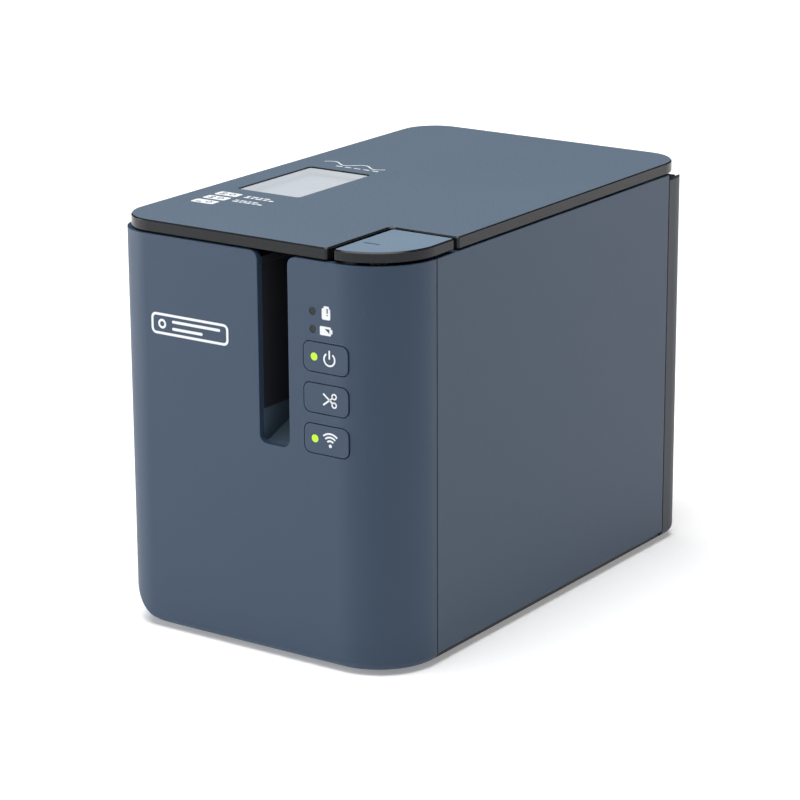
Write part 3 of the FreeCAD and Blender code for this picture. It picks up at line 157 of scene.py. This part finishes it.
def blend_colours(nodes, links, factor, a, b):
    node = nodes.new("ShaderNodeMix")
    node.data_type = "RGBA"
    links.new(factor, node.inputs["Factor"])
    for socket, value in ((node.inputs["A"], a), (node.inputs["B"], b)):
        if isinstance(value, tuple):
            socket.default_value = (*value, 1.0)
        else:
            links.new(value, socket)
    return node.outputs["Result"]


def rounded_normal(nodes, radius):
    node = nodes.new("ShaderNodeBevel")
    node.samples = 4
    node.inputs["Radius"].default_value = radius
    return node.outputs["Normal"]


def edge_mask(nodes, links, rounded):
    """1 along sharp edges, 0 on open faces: how far the rounded normal leans from the face's own."""
    geometry = nodes.new("ShaderNodeNewGeometry")
    dot = nodes.new("ShaderNodeVectorMath")
    dot.operation = "DOT_PRODUCT"
    links.new(rounded, dot.inputs[0])
    links.new(geometry.outputs["Normal"], dot.inputs[1])
    return remap(nodes, links, dot.outputs["Value"], 0.995, 0.85, 0.0, 1.0)


def bump(nodes, links, height, distance, strength, base=None):
    node = nodes.new("ShaderNodeBump")
    node.inputs["Distance"].default_value = distance
    node.inputs["Strength"].default_value = strength
    links.new(height, node.inputs["Height"])
    if base is not None:
        links.new(base, node.inputs["Normal"])
    return node.outputs["Normal"]


def lighter(colour, factor):
    return tuple(min(1.0, channel * factor) for channel in colour)


# ---- materials ----
def moulded_plastic(name, colour, roughness, grain=2600.0, grain_depth=0.00003,
                    round_edge=0.0004, edge_wear_and_highlight_gain=1.6):
    """Injection moulded plastic: spark-eroded grain, faint flow clouding, edges polished by handling, and
    edges lightened in colour, partly as wear and partly as a painted highlight.
    """
    material, nodes, links, shader = new_material(name)
    place = object_coordinates(nodes)
    clouds = noise(nodes, links, place, 22.0, 3.0)
    fine = noise(nodes, links, place, grain, 3.0, 0.65)
    rounded = rounded_normal(nodes, round_edge)
    edges = edge_mask(nodes, links, rounded)
    body = blend_colours(nodes, links, clouds, lighter(colour, 0.94), lighter(colour, 1.06))
    speck = remap(nodes, links, fine, 0.3, 0.7, 0.0, 0.25)
    body = blend_colours(nodes, links, speck, body, lighter(colour, 1.25))
    # edges lightened in colour: partly handling wear, partly a painted highlight along every rounded edge
    edge_wear_and_painted_highlight = maths(nodes, links, "MULTIPLY", edges, remap(nodes, links, clouds, 0.3, 0.7, 0.35, 0.8))
    links.new(blend_colours(nodes, links, edge_wear_and_painted_highlight, body, lighter(colour, edge_wear_and_highlight_gain)), shader.inputs["Base Color"])
    rough = remap(nodes, links, fine, 0.2, 0.8, roughness - 0.05, roughness + 0.07)
    links.new(maths(nodes, links, "SUBTRACT", rough, maths(nodes, links, "MULTIPLY", edges, 0.1)),
              shader.inputs["Roughness"])
    shader.inputs["Specular IOR Level"].default_value = 0.35
    links.new(bump(nodes, links, fine, grain_depth, 0.55, rounded), shader.inputs["Normal"])
    return material


def grained_top(name, top_colour, edge_colour, top_height, speckle):
    """A cover moulded with a coarse speckled grain on its flat top, and a glossy dark rim below it."""
    material, nodes, links, shader = new_material(name)
    place = object_coordinates(nodes)
    split = nodes.new("ShaderNodeSeparateXYZ")
    links.new(place, split.inputs[0])
    on_top = remap(nodes, links, split.outputs["Z"], top_height - 0.00012, top_height - 0.00004, 0.0, 1.0)
    pits = cells(nodes, links, place, 2300.0)
    grit = noise(nodes, links, place, 1500.0, 4.0, 0.7)
    clouds = noise(nodes, links, place, 14.0, 3.0)
    rounded = rounded_normal(nodes, 0.00025)
    grain = blend_colours(nodes, links, remap(nodes, links, grit, 0.38, 0.62, 0.0, 1.0),
                          lighter(top_colour, 1.0 - speckle), lighter(top_colour, 1.0 + speckle))
    grain = blend_colours(nodes, links, remap(nodes, links, clouds, 0.3, 0.7, 0.0, 0.3), grain,
                          lighter(top_colour, 1.15))
    links.new(blend_colours(nodes, links, on_top, edge_colour, grain), shader.inputs["Base Color"])
    fine = noise(nodes, links, place, 60.0, 2.0)
    gloss = remap(nodes, links, fine, 0.3, 0.7, 0.16, 0.24)
    matt = remap(nodes, links, grit, 0.3, 0.7, 0.40, 0.52)
    mix = nodes.new("ShaderNodeMix")
    links.new(on_top, mix.inputs["Factor"])
    links.new(gloss, mix.inputs[2])
    links.new(matt, mix.inputs[3])
    links.new(mix.outputs[0], shader.inputs["Roughness"])
    shader.inputs["Specular IOR Level"].default_value = 0.25
    relief = maths(nodes, links, "MULTIPLY", on_top, maths(nodes, links, "ADD", pits, grit))
    links.new(bump(nodes, links, relief, 0.00006, 0.6, rounded), shader.inputs["Normal"])
    return material


def window_pane(name):
    material, nodes, links, shader = new_material(name)
    place = object_coordinates(nodes)
    haze = noise(nodes, links, place, 45.0, 3.0)
    scratches = noise(nodes, links, place, 900.0, 4.0, 0.7)
    links.new(blend_colours(nodes, links, haze, PANE, PANE_HAZE), shader.inputs["Base Color"])
    links.new(remap(nodes, links, scratches, 0.3, 0.7, 0.05, 0.13), shader.inputs["Roughness"])
    shader.inputs["Alpha"].default_value = PANE_ALPHA
    shader.inputs["IOR"].default_value = PANE_IOR
    rounded = rounded_normal(nodes, 0.0003)
    links.new(bump(nodes, links, haze, 0.00004, 0.2, rounded), shader.inputs["Normal"])
    return material


def clear_shell(name, colour, alpha):
    """Smoky clear styrene of the cassette."""
    material, nodes, links, shader = new_material(name)
    place = object_coordinates(nodes)
    flow = noise(nodes, links, place, 70.0, 3.0)
    links.new(blend_colours(nodes, links, flow, lighter(colour, 0.9), lighter(colour, 1.1)),
              shader.inputs["Base Color"])
    links.new(remap(nodes, links, flow, 0.3, 0.7, 0.12, 0.25), shader.inputs["Roughness"])
    shader.inputs["Alpha"].default_value = alpha
    links.new(bump(nodes, links, flow, 0.0001, 0.2, rounded_normal(nodes, 0.0004)), shader.inputs["Normal"])
    return material


def lit_lens(name, colour, strength):
    material, nodes, links, shader = new_material(name)
    place = object_coordinates(nodes)
    frost = noise(nodes, links, place, 1800.0, 2.0)
    links.new(blend_colours(nodes, links, frost, lighter(colour, 0.85), lighter(colour, 1.1)),
              shader.inputs["Base Color"])
    shader.inputs["Emission Color"].default_value = (*colour, 1.0)
    shader.inputs["Emission Strength"].default_value = strength
    links.new(remap(nodes, links, frost, 0.3, 0.7, 0.2, 0.35), shader.inputs["Roughness"])
    links.new(bump(nodes, links, frost, 0.00002, 0.4), shader.inputs["Normal"])
    return material


def metal(name, colour, roughness, streaks, along):
    """Rolled or turned metal, with fine streaks along one axis."""
    material, nodes, links, shader = new_material(name)
    place = object_coordinates(nodes)
    stretch = nodes.new("ShaderNodeMapping")
    scale = [streaks, streaks, streaks]
    scale[along] = streaks * 0.03
    stretch.inputs["Scale"].default_value = scale
    links.new(place, stretch.inputs["Vector"])
    lines = noise(nodes, links, stretch.outputs["Vector"], 1.0, 4.0, 0.6)
    stains = noise(nodes, links, place, 55.0, 3.0)
    shader.inputs["Metallic"].default_value = 1.0
    tone = blend_colours(nodes, links, lines, lighter(colour, 0.82), lighter(colour, 1.08))
    links.new(blend_colours(nodes, links, remap(nodes, links, stains, 0.45, 0.75, 0.0, 0.3), tone,
                            lighter(colour, 0.75)), shader.inputs["Base Color"])
    links.new(remap(nodes, links, lines, 0.2, 0.8, roughness - 0.08, roughness + 0.1),
              shader.inputs["Roughness"])
    rounded = rounded_normal(nodes, 0.0003)
    links.new(bump(nodes, links, lines, 0.00003, 0.35, rounded), shader.inputs["Normal"])
    return material


def rubber(name, colour):
    material, nodes, links, shader = new_material(name)
    place = object_coordinates(nodes)
    dust = noise(nodes, links, place, 350.0, 4.0, 0.7)
    links.new(blend_colours(nodes, links, remap(nodes, links, dust, 0.5, 0.8, 0.0, 0.5), colour,
                            lighter(colour, 2.2)), shader.inputs["Base Color"])
    shader.inputs["Sheen Weight"].default_value = 0.15
    links.new(remap(nodes, links, dust, 0.3, 0.7, 0.7, 0.9), shader.inputs["Roughness"])
    rounded = rounded_normal(nodes, 0.0004)
    links.new(bump(nodes, links, dust, 0.00008, 0.5, rounded), shader.inputs["Normal"])
    return material


def circuit_board(name, colour):
    """Solder mask with faint copper tracks below it."""
    material, nodes, links, shader = new_material(name)
    place = object_coordinates(nodes)
    tracks = nodes.new("ShaderNodeTexBrick")
    tracks.inputs["Scale"].default_value = 180.0
    tracks.inputs["Mortar Size"].default_value = 0.035
    tracks.inputs["Color1"].default_value = (0, 0, 0, 1)
    tracks.inputs["Color2"].default_value = (0, 0, 0, 1)
    tracks.inputs["Mortar"].default_value = (1, 1, 1, 1)
    links.new(place, tracks.inputs["Vector"])
    value = tracks.outputs["Color"]
    links.new(blend_colours(nodes, links, value, colour, lighter(colour, 2.0)), shader.inputs["Base Color"])
    fine = noise(nodes, links, place, 400.0)
    links.new(remap(nodes, links, fine, 0.3, 0.7, 0.25, 0.4), shader.inputs["Roughness"])
    links.new(bump(nodes, links, value, 0.00003, 0.5), shader.inputs["Normal"])
    return material


def wound_tape(name, colour, line_colour):
    """Wound film: a fine uneven grain between two tones, over broad changes in gloss."""
    material, nodes, links, shader = new_material(name)
    place = object_coordinates(nodes)
    layers = noise(nodes, links, place, 2400.0, 2.0)
    broad = noise(nodes, links, place, 160.0, 2.0)
    tone = maths(nodes, links, "MULTIPLY", remap(nodes, links, layers, 0.4, 0.6, 0.0, 1.0), 0.4)
    links.new(blend_colours(nodes, links, tone, colour, line_colour), shader.inputs["Base Color"])
    links.new(remap(nodes, links, broad, 0.3, 0.7, 0.25, 0.4), shader.inputs["Roughness"])
    links.new(bump(nodes, links, layers, 0.00002, 0.4), shader.inputs["Normal"])
    return material


def printed_ink(name, colour):
    material, nodes, links, shader = new_material(name)
    place = object_coordinates(nodes)
    mottle = noise(nodes, links, place, 2500.0, 3.0)
    links.new(blend_colours(nodes, links, mottle, lighter(colour, 0.92), lighter(colour, 1.05)),
              shader.inputs["Base Color"])
    links.new(remap(nodes, links, mottle, 0.3, 0.7, 0.45, 0.6), shader.inputs["Roughness"])
    links.new(bump(nodes, links, mottle, 0.00001, 0.3), shader.inputs["Normal"])
    return material


def plastic_with_painted_light_below(name, painted_light_colour, high_colour, height):
    """Moulded plastic with painted light: below a height it takes a lighter colour that stands for light
    falling on the low part, and above it the plastic's own colour.
    """
    material = moulded_plastic(name, high_colour, 0.5, 1800.0)
    nodes = material.node_tree.nodes
    links = material.node_tree.links
    shader = nodes["Principled BSDF"]
    split = nodes.new("ShaderNodeSeparateXYZ")
    links.new(object_coordinates(nodes), split.inputs[0])
    above = remap(nodes, links, split.outputs["Z"], height, height + 0.0001, 0.0, 1.0)
    upper = shader.inputs["Base Color"].links[0].from_socket
    links.new(blend_colours(nodes, links, above, painted_light_colour, upper), shader.inputs["Base Color"])
    return material


# ---- what each of the frame's material slots looks like ----
def slot_materials():
    lid_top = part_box("top_lid")[1][2]
    return {
        "body": moulded_plastic("slate_body", SLATE, 0.46),
        "rear": moulded_plastic("rear_black", SLATE_DARK, 0.5),
        "base": moulded_plastic("base_black", NEAR_BLACK, 0.55),
        "black_inner": moulded_plastic("inner_black", INNER_BLACK, 0.5, 1800.0),
        "lid": grained_top("lid_grain", LID_GREY, NEAR_BLACK, lid_top, 0.28),
        "key": grained_top("key_grain", KEY_GREY, NEAR_BLACK, lid_top, 0.12),
        "button": moulded_plastic("button_slate", SLATE, 0.4, 3200.0, 0.00002),
        "pane": window_pane("clear_pane"),
        "lamp": lit_lens("lamp_green", LAMP, 0.35),
        "smoked_lens": moulded_plastic("smoked_lens", NEAR_BLACK, 0.15),
        "rubber": rubber("foot_rubber", RUBBER),
        "steel": metal("plated_steel", PLATED_STEEL, 0.32, 900.0, 0),
        "blade_steel": metal("ground_steel", GROUND_STEEL, 0.2, 2500.0, 2),
        "motor_can": metal("drawn_can", MOTOR_STEEL, 0.3, 700.0, 2),
        "white_gear": moulded_plastic("natural_acetal", ACETAL, 0.38, 900.0, 0.00002, 0.0002, 1.15),
        "head_ceramic": moulded_plastic("head_ceramic", CERAMIC, 0.22, 700.0, 0.00001),
        "aluminium": metal("extruded_aluminium", ALUMINIUM, 0.36, 1200.0, 2),
        "board": circuit_board("solder_mask", SOLDER_MASK),
        "components": moulded_plastic("component_black", NEAR_BLACK, 0.45, 1500.0),
        "socket_metal": metal("tinned_shell", TINPLATE, 0.28, 1500.0, 1),
        "cassette_shell": clear_shell("cassette_shell", CASSETTE_GREY, 0.93),
        "tape": wound_tape("label_tape", TAPE, TAPE_LINE),
        "ribbon": wound_tape("ink_ribbon", RIBBON, RIBBON_LINE),
    }


def dress_frame(looks):
    """Gives every carried-over node the look of its slot."""
    slots = {part["node"]: part["material_slot"] for part in frame["record"]["subparts"]}
    for node, obj in frame["nodes"].items():
        for place in obj.material_slots:
            place.material = looks[slots[node]]
    # painted light: the foot of the outlet chute is coloured a lighter slate where light from the front
    # falls on it
    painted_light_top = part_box("outlet_chute")[0][2] + CHUTE_PAINTED_LIGHT_HEIGHT
    chute_look = plastic_with_painted_light_below("outlet_black_painted_lit_foot", SLATE_LIT, INNER_BLACK, painted_light_top)
    for place in frame["nodes"]["outlet_chute"].material_slots:
        place.material = chute_look


# ---- printed marks: flat shapes drawn in millimetres on a plane ----
def round_points(u, v, radius, start, sweep, steps):
    """steps + 1 points on a circle, anticlockwise from start degrees over sweep degrees."""
    angles = [math.radians(start + sweep * i / steps) for i in range(steps + 1)]
    return [(u + radius * math.cos(angle), v + radius * math.sin(angle)) for angle in angles]


class Print:
    """Thin printed shapes. across and up span the plane, out is its outward normal."""

    def __init__(self, origin, across, up, lift=0.03, sink=0.03):
        self.origin = Vector(origin)
        self.across = Vector(across)
        self.up = Vector(up)
        self.out = self.across.cross(self.up)
        self.lift = lift
        self.sink = sink
        self.mesh = bmesh.new()

    def point(self, u, v, height):
        return self.origin + (self.across * u + self.up * v + self.out * height) * MM

    def polygon(self, outline):
        """A filled outline, anticlockwise seen from outside."""
        top = [self.mesh.verts.new(self.point(u, v, self.lift)) for u, v in outline]
        bottom = [self.mesh.verts.new(self.point(u, v, -self.sink)) for u, v in outline]
        self.mesh.faces.new(top)
        self.mesh.faces.new(list(reversed(bottom)))
        count = len(outline)
        for i in range(count):
            j = (i + 1) % count
            self.mesh.faces.new((bottom[i], bottom[j], top[j], top[i]))

    def disc(self, u, v, radius, steps=28):
        self.polygon(round_points(u, v, radius, 0, 360, steps)[:-1])

    def bar(self, u0, u1, v0, v1):
        self.polygon([(u0, v0), (u1, v0), (u1, v1), (u0, v1)])

    def stroke(self, points, width, closed=False):
        """A line of even width with mitred turns."""
        path = [Vector(p) for p in points]
        count = len(path)
        left = []
        right = []
        for i, here in enumerate(path):
            before = path[i - 1] if i > 0 or closed else None
            after = path[(i + 1) % count] if i < count - 1 or closed else None
            ways = []
            if before is not None:
                ways.append((here - before).normalized())
            if after is not None:
                ways.append((after - here).normalized())
            way = sum(ways, Vector((0, 0))).normalized()
            side = Vector((-way.y, way.x))
            first = Vector((-ways[0].y, ways[0].x))
            reach = width / 2 / max(0.4, side.dot(first))
            left.append(here + side * reach)
            right.append(here - side * reach)
        pairs = list(zip(left, right))
        if closed:
            pairs.append(pairs[0])
        for (l0, r0), (l1, r1) in zip(pairs, pairs[1:]):
            self.polygon([tuple(r0), tuple(r1), tuple(l1), tuple(l0)])

    def arc(self, u, v, radius, start, end, width, steps=24):
        """An arc from start to end degrees, anticlockwise from the across direction."""
        self.stroke(round_points(u, v, radius, start, end - start, steps), width)

    def ring(self, u, v, radius, width, steps=36):
        self.stroke(round_points(u, v, radius, 0, 360, steps)[:-1], width, closed=True)

    def rounded(self, u0, u1, v0, v1, radius, steps=6):
        corners = ((u1 - radius, v0 + radius, -90), (u1 - radius, v1 - radius, 0),
                   (u0 + radius, v1 - radius, 90), (u0 + radius, v0 + radius, 180))
        outline = []
        for cu, cv, start in corners:
            outline += round_points(cu, cv, radius, start, 90, steps)
        return outline

    def make(self, name, material, body, slot):
        data = bpy.data.meshes.new(name)
        self.mesh.to_mesh(data)
        self.mesh.free()
        obj = bpy.data.objects.new(name, data)
        bpy.context.scene.collection.objects.link(obj)
        data.materials.append(material)
        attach(obj, body)


def on_front(x, z, **depths):
    """A print on the front face, its origin at x and z."""
    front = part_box("front_cover")[0][1]
    return Print((x, front, z), (1, 0, 0), (0, 0, 1), **depths)


def middle(node):
    low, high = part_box(node)
    return [(a + b) / 2 for a, b in zip(low, high)]


def on_lid(x, y, node="top_lid", **depths):
    """A print on the flat top of the lid or of another node, its origin at x and y."""
    return Print((x, y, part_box(node)[1][2]), (1, 0, 0), (0, 1, 0), **depths)


def maker_mark(ink):
    """In the maker's place: a plain pictogram of a label strip, with a punched hole and two lines."""
    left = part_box("front_cover")[0][0]
    mark = on_front(left + MAKER_MARK_RIGHT, MAKER_MARK_HEIGHT)
    half_width = 16.0
    half_height = 3.3
    mark.stroke(mark.rounded(-half_width, half_width, -half_height, half_height, 1.6), 0.9, closed=True)
    mark.ring(-half_width + 4.2, 0.0, 1.3, 0.8)
    first_line = -half_width + 8.5
    for height, length in ((1.25, 20.5), (-1.25, 13.0)):
        mark.polygon(mark.rounded(first_line, first_line + length, height - 0.5, height + 0.5, 0.45))
    mark.make("maker_mark", ink, "housing", "tape")


def status_icons(ink, dark):
    """Beside the two status lamps: a tape cassette and a battery."""
    low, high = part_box("status_lenses")
    x = high[0] + 3.4 * MM
    lens = (high[0] - low[0]) / 2
    tape = on_front(x, high[2] - lens)
    tape.polygon(tape.rounded(-1.7, 1.7, -2.3, 1.6, 0.6))
    tape.polygon(tape.rounded(-0.9, 1.2, 1.5, 2.3, 0.3))
    tape.make("tape_icon", ink, "housing", "tape")
    mark = on_front(x, high[2] - lens, lift=0.05)
    mark.bar(0.25, 0.75, -0.1, 1.5)
    mark.bar(0.25, 0.75, -0.9, -0.5)
    mark.make("tape_icon_mark", dark, "housing", "black_inner")
    battery = on_front(x, low[2] + lens)
    battery.polygon(battery.rounded(-2.5, 1.9, -1.5, 1.5, 0.35))
    battery.polygon(battery.rounded(1.8, 2.5, -0.75, 0.75, 0.25))
    battery.make("battery_icon", ink, "housing", "tape")
    charge = on_front(x, low[2] + lens, lift=0.05)
    charge.polygon([(-0.5, 0.75), (1.3, -0.75), (1.3, 0.75)])
    charge.make("battery_icon_mark", dark, "housing", "black_inner")


def on_button(node):
    """A print on a button's face, set off to the right of its lamp."""
    x, _, z = middle(node)
    return on_front(x + 1.5 * MM, z)


def power_symbol(ink):
    symbol = on_button("power_button")
    symbol.arc(0.0, -0.2, 2.15, 125, 415, 0.6)
    symbol.bar(-0.3, 0.3, -0.1, 2.9)
    symbol.make("power_symbol", ink, "power_key", "tape")


def scissors_symbol(ink):
    symbol = on_button("cut_button")
    for side in (-1, 1):
        symbol.ring(1.75, side * 1.45, 0.85, 0.5)
        symbol.stroke([(1.15, side * 0.95), (-2.7, side * -1.95)], 0.6)
    symbol.make("scissors_symbol", ink, "cut_key", "tape")


def wireless_symbol(ink):
    symbol = on_button("wireless_button")
    foot = -1.7
    symbol.disc(0.0, foot, 0.6)
    for radius in (1.75, 3.0, 4.2):
        symbol.arc(0.0, foot, radius, 48, 132, 0.6)
    symbol.make("wireless_symbol", ink, "wireless_key", "tape")


def lid_legend(ink, dark):
    """In front of the window: three rows of small cassettes, two of them with bars beside them."""
    left, front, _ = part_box("lid_window")[0]
    rows = (-7.5, -14.2, -20.9)
    for index, row in enumerate(rows):
        x = left + 5.0 * MM
        y = front + row * MM
        case = on_lid(x, y)
        case.polygon(case.rounded(-4.8, 4.8, -2.4, 2.4, 0.9))
        case.make(f"legend_case_{index}", ink, "lid", "tape")
        detail = on_lid(x, y, lift=0.05)
        detail.bar(-3.2, -1.0, -1.3, -0.6)
        if index < 2:
            detail.ring(-2.0, 0.7, 0.7, 0.4, 16)
        detail.ring(1.6, 0.2, 1.0, 0.4, 16)
        detail.make(f"legend_case_detail_{index}", dark, "lid", "black_inner")
        if index < 2:
            lines = on_lid(x + 7.5 * MM, y)
            for height, pieces in ((0.95, (1.6, 2.6, 1.2, 2.2)), (-0.95, (2.2, 1.2, 2.8, 1.6, 2.0))):
                start = 0.0
                for length in pieces:
                    lines.bar(start, start + length, height - 0.5, height + 0.5)
                    start += length + 0.7
            lines.make(f"legend_lines_{index}", ink, "lid", "tape")


def lid_flourish(ink):
    """Behind the window: a plain wave over a row of dashes, where the model's name was."""
    low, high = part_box("lid_window")
    wave = on_lid(low[0] + 1.0 * MM, high[1] + 8.0 * MM)
    length = 27.0
    height = 1.9
    steps = 40
    path = [(length * i / steps, height * math.sin(4 * math.pi * i / steps)) for i in range(steps + 1)]
    wave.stroke(path, 0.55)
    first_dash = 8.0
    dash_pitch = 4.0
    dash_length = 2.8
    for index in range(5):
        start = first_dash + index * dash_pitch
        wave.bar(start, start + dash_length, -4.4, -3.7)
    wave.make("lid_wave", ink, "lid", "tape")


def release_dash(dark):
    """A short groove line on the release button, near its front edge."""
    low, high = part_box("release_button")
    dash = on_lid((low[0] + high[0]) / 2 - 6.0 * MM, low[1] + 13.0 * MM, "release_button")
    dash.polygon(dash.rounded(-3.2, 3.2, -0.35, 0.35, 0.3))
    dash.make("release_dash", dark, "release_key", "black_inner")


def cassette_label(paper, ink):
    """A paper label on the cassette, mostly under the window."""
    low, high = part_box("cassette_cover")
    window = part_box("lid_window")
    x0 = (low[0] + 1.5 * MM) / MM
    x1 = (window[1][0] + 3.0 * MM) / MM
    y0 = (low[1] + 1.5 * MM) / MM
    y1 = (window[1][1] + 4.0 * MM) / MM
    sheet = on_lid(0, 0, "cassette_cover", lift=0.12, sink=0.02)
    sheet.polygon(sheet.rounded(x0, x1, y0, y1, 2.0))
    sheet.make("cassette_label", paper, "housing", "tape")
    lines = on_lid(0, 0, "cassette_cover", lift=0.15, sink=-0.1)
    for index in range(3):
        lines.bar(x0 + 3.0, x0 + 3.4 + 6.0 * (3 - index), y1 - 4.0 - 2.0 * index, y1 - 3.0 - 2.0 * index)
    lines.make("cassette_label_lines", ink, "housing", "black_inner")


# ---- camera, light and floor ----
def direction(azimuth, elevation):
    """From the object towards a place at that azimuth (0 in front, 90 to the right) and height angle."""
    a = math.radians(azimuth)
    e = math.radians(elevation)
    return Vector((math.sin(a) * math.cos(e), -math.cos(a) * math.cos(e), math.sin(e)))


def make_camera():
    data = bpy.data.cameras.new("camera")
    data.lens = CAMERA_LENS
    camera = bpy.data.objects.new("camera", data)
    bpy.context.scene.collection.objects.link(camera)
    back = direction(CAMERA_AZIMUTH, CAMERA_ELEVATION)
    level = Vector((0, 0, 1)).cross(back).normalized()
    top = back.cross(level)
    roll = math.radians(CAMERA_ROLL)
    right = level * math.cos(roll) + top * math.sin(roll)
    up = top * math.cos(roll) - level * math.sin(roll)
    matrix = camera.matrix_world.copy()
    place = CAMERA_TARGET + back * CAMERA_DISTANCE
    for row in range(3):
        matrix[row][0] = right[row]
        matrix[row][1] = up[row]
        matrix[row][2] = back[row]
        matrix[row][3] = place[row]
    camera.matrix_world = matrix
    bpy.context.scene.camera = camera


def softbox(name, azimuth, elevation, width, height, power):
    data = bpy.data.lights.new(name, "AREA")
    data.shape = "RECTANGLE"
    data.size = width
    data.size_y = height
    data.energy = power
    lamp = bpy.data.objects.new(name, data)
    bpy.context.scene.collection.objects.link(lamp)
    away = direction(azimuth, elevation)
    lamp.location = CAMERA_TARGET + away * LIGHT_DISTANCE
    lamp.rotation_euler = away.to_track_quat("Z", "Y").to_euler()


def make_light():
    for light in LIGHTS:
        softbox(*light)
    world = bpy.data.worlds.new("studio")
    world.use_nodes = True
    background = world.node_tree.nodes["Background"]
    background.inputs["Color"].default_value = (1.0, 1.0, 1.0, 1.0)
    background.inputs["Strength"].default_value = WORLD_STRENGTH
    bpy.context.scene.world = world
    bpy.context.scene.view_settings.view_transform = "Standard"


def make_floor():
    """Plain paper that glows a little more away from the object, as a lit sweep behind it would look."""
    material, nodes, links, shader = new_material("floor_paper")
    place = object_coordinates(nodes)
    tone = noise(nodes, links, place, 3.0, 2.0)
    links.new(blend_colours(nodes, links, tone, FLOOR_DARK, FLOOR_PALE), shader.inputs["Base Color"])
    shader.inputs["Roughness"].default_value = 0.9
    shader.inputs["Specular IOR Level"].default_value = 0.1
    shader.inputs["Emission Color"].default_value = (1.0, 1.0, 1.0, 1.0)
    reach = nodes.new("ShaderNodeVectorMath")
    reach.operation = "LENGTH"
    links.new(place, reach.inputs[0])
    glow = remap(nodes, links, reach.outputs["Value"], GLOW_STARTS, GLOW_FULL, GLOW_NEAR, GLOW_FAR)
    links.new(glow, shader.inputs["Emission Strength"])
    mesh = bmesh.new()
    bmesh.ops.create_circle(mesh, cap_ends=True, segments=96, radius=FLOOR_RADIUS)
    data = bpy.data.meshes.new("floor")
    mesh.to_mesh(data)
    mesh.free()
    floor = bpy.data.objects.new("floor", data)
    data.materials.append(material)
    floor.location.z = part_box("rubber_feet")[0][2]
    bpy.context.scene.collection.objects.link(floor)


# ---- the whole scene ----
dress_frame(slot_materials())
white_ink = printed_ink("white_ink", INK)
dark_ink = printed_ink("dark_ink", SLATE_DARK)
label_paper = printed_ink("label_paper", PAPER)
maker_mark(white_ink)
status_icons(white_ink, dark_ink)
power_symbol(white_ink)
scissors_symbol(white_ink)
wireless_symbol(white_ink)
lid_legend(white_ink, dark_ink)
lid_flourish(white_ink)
release_dash(dark_ink)
cassette_label(label_paper, dark_ink)
make_camera()
make_light()
make_floor()
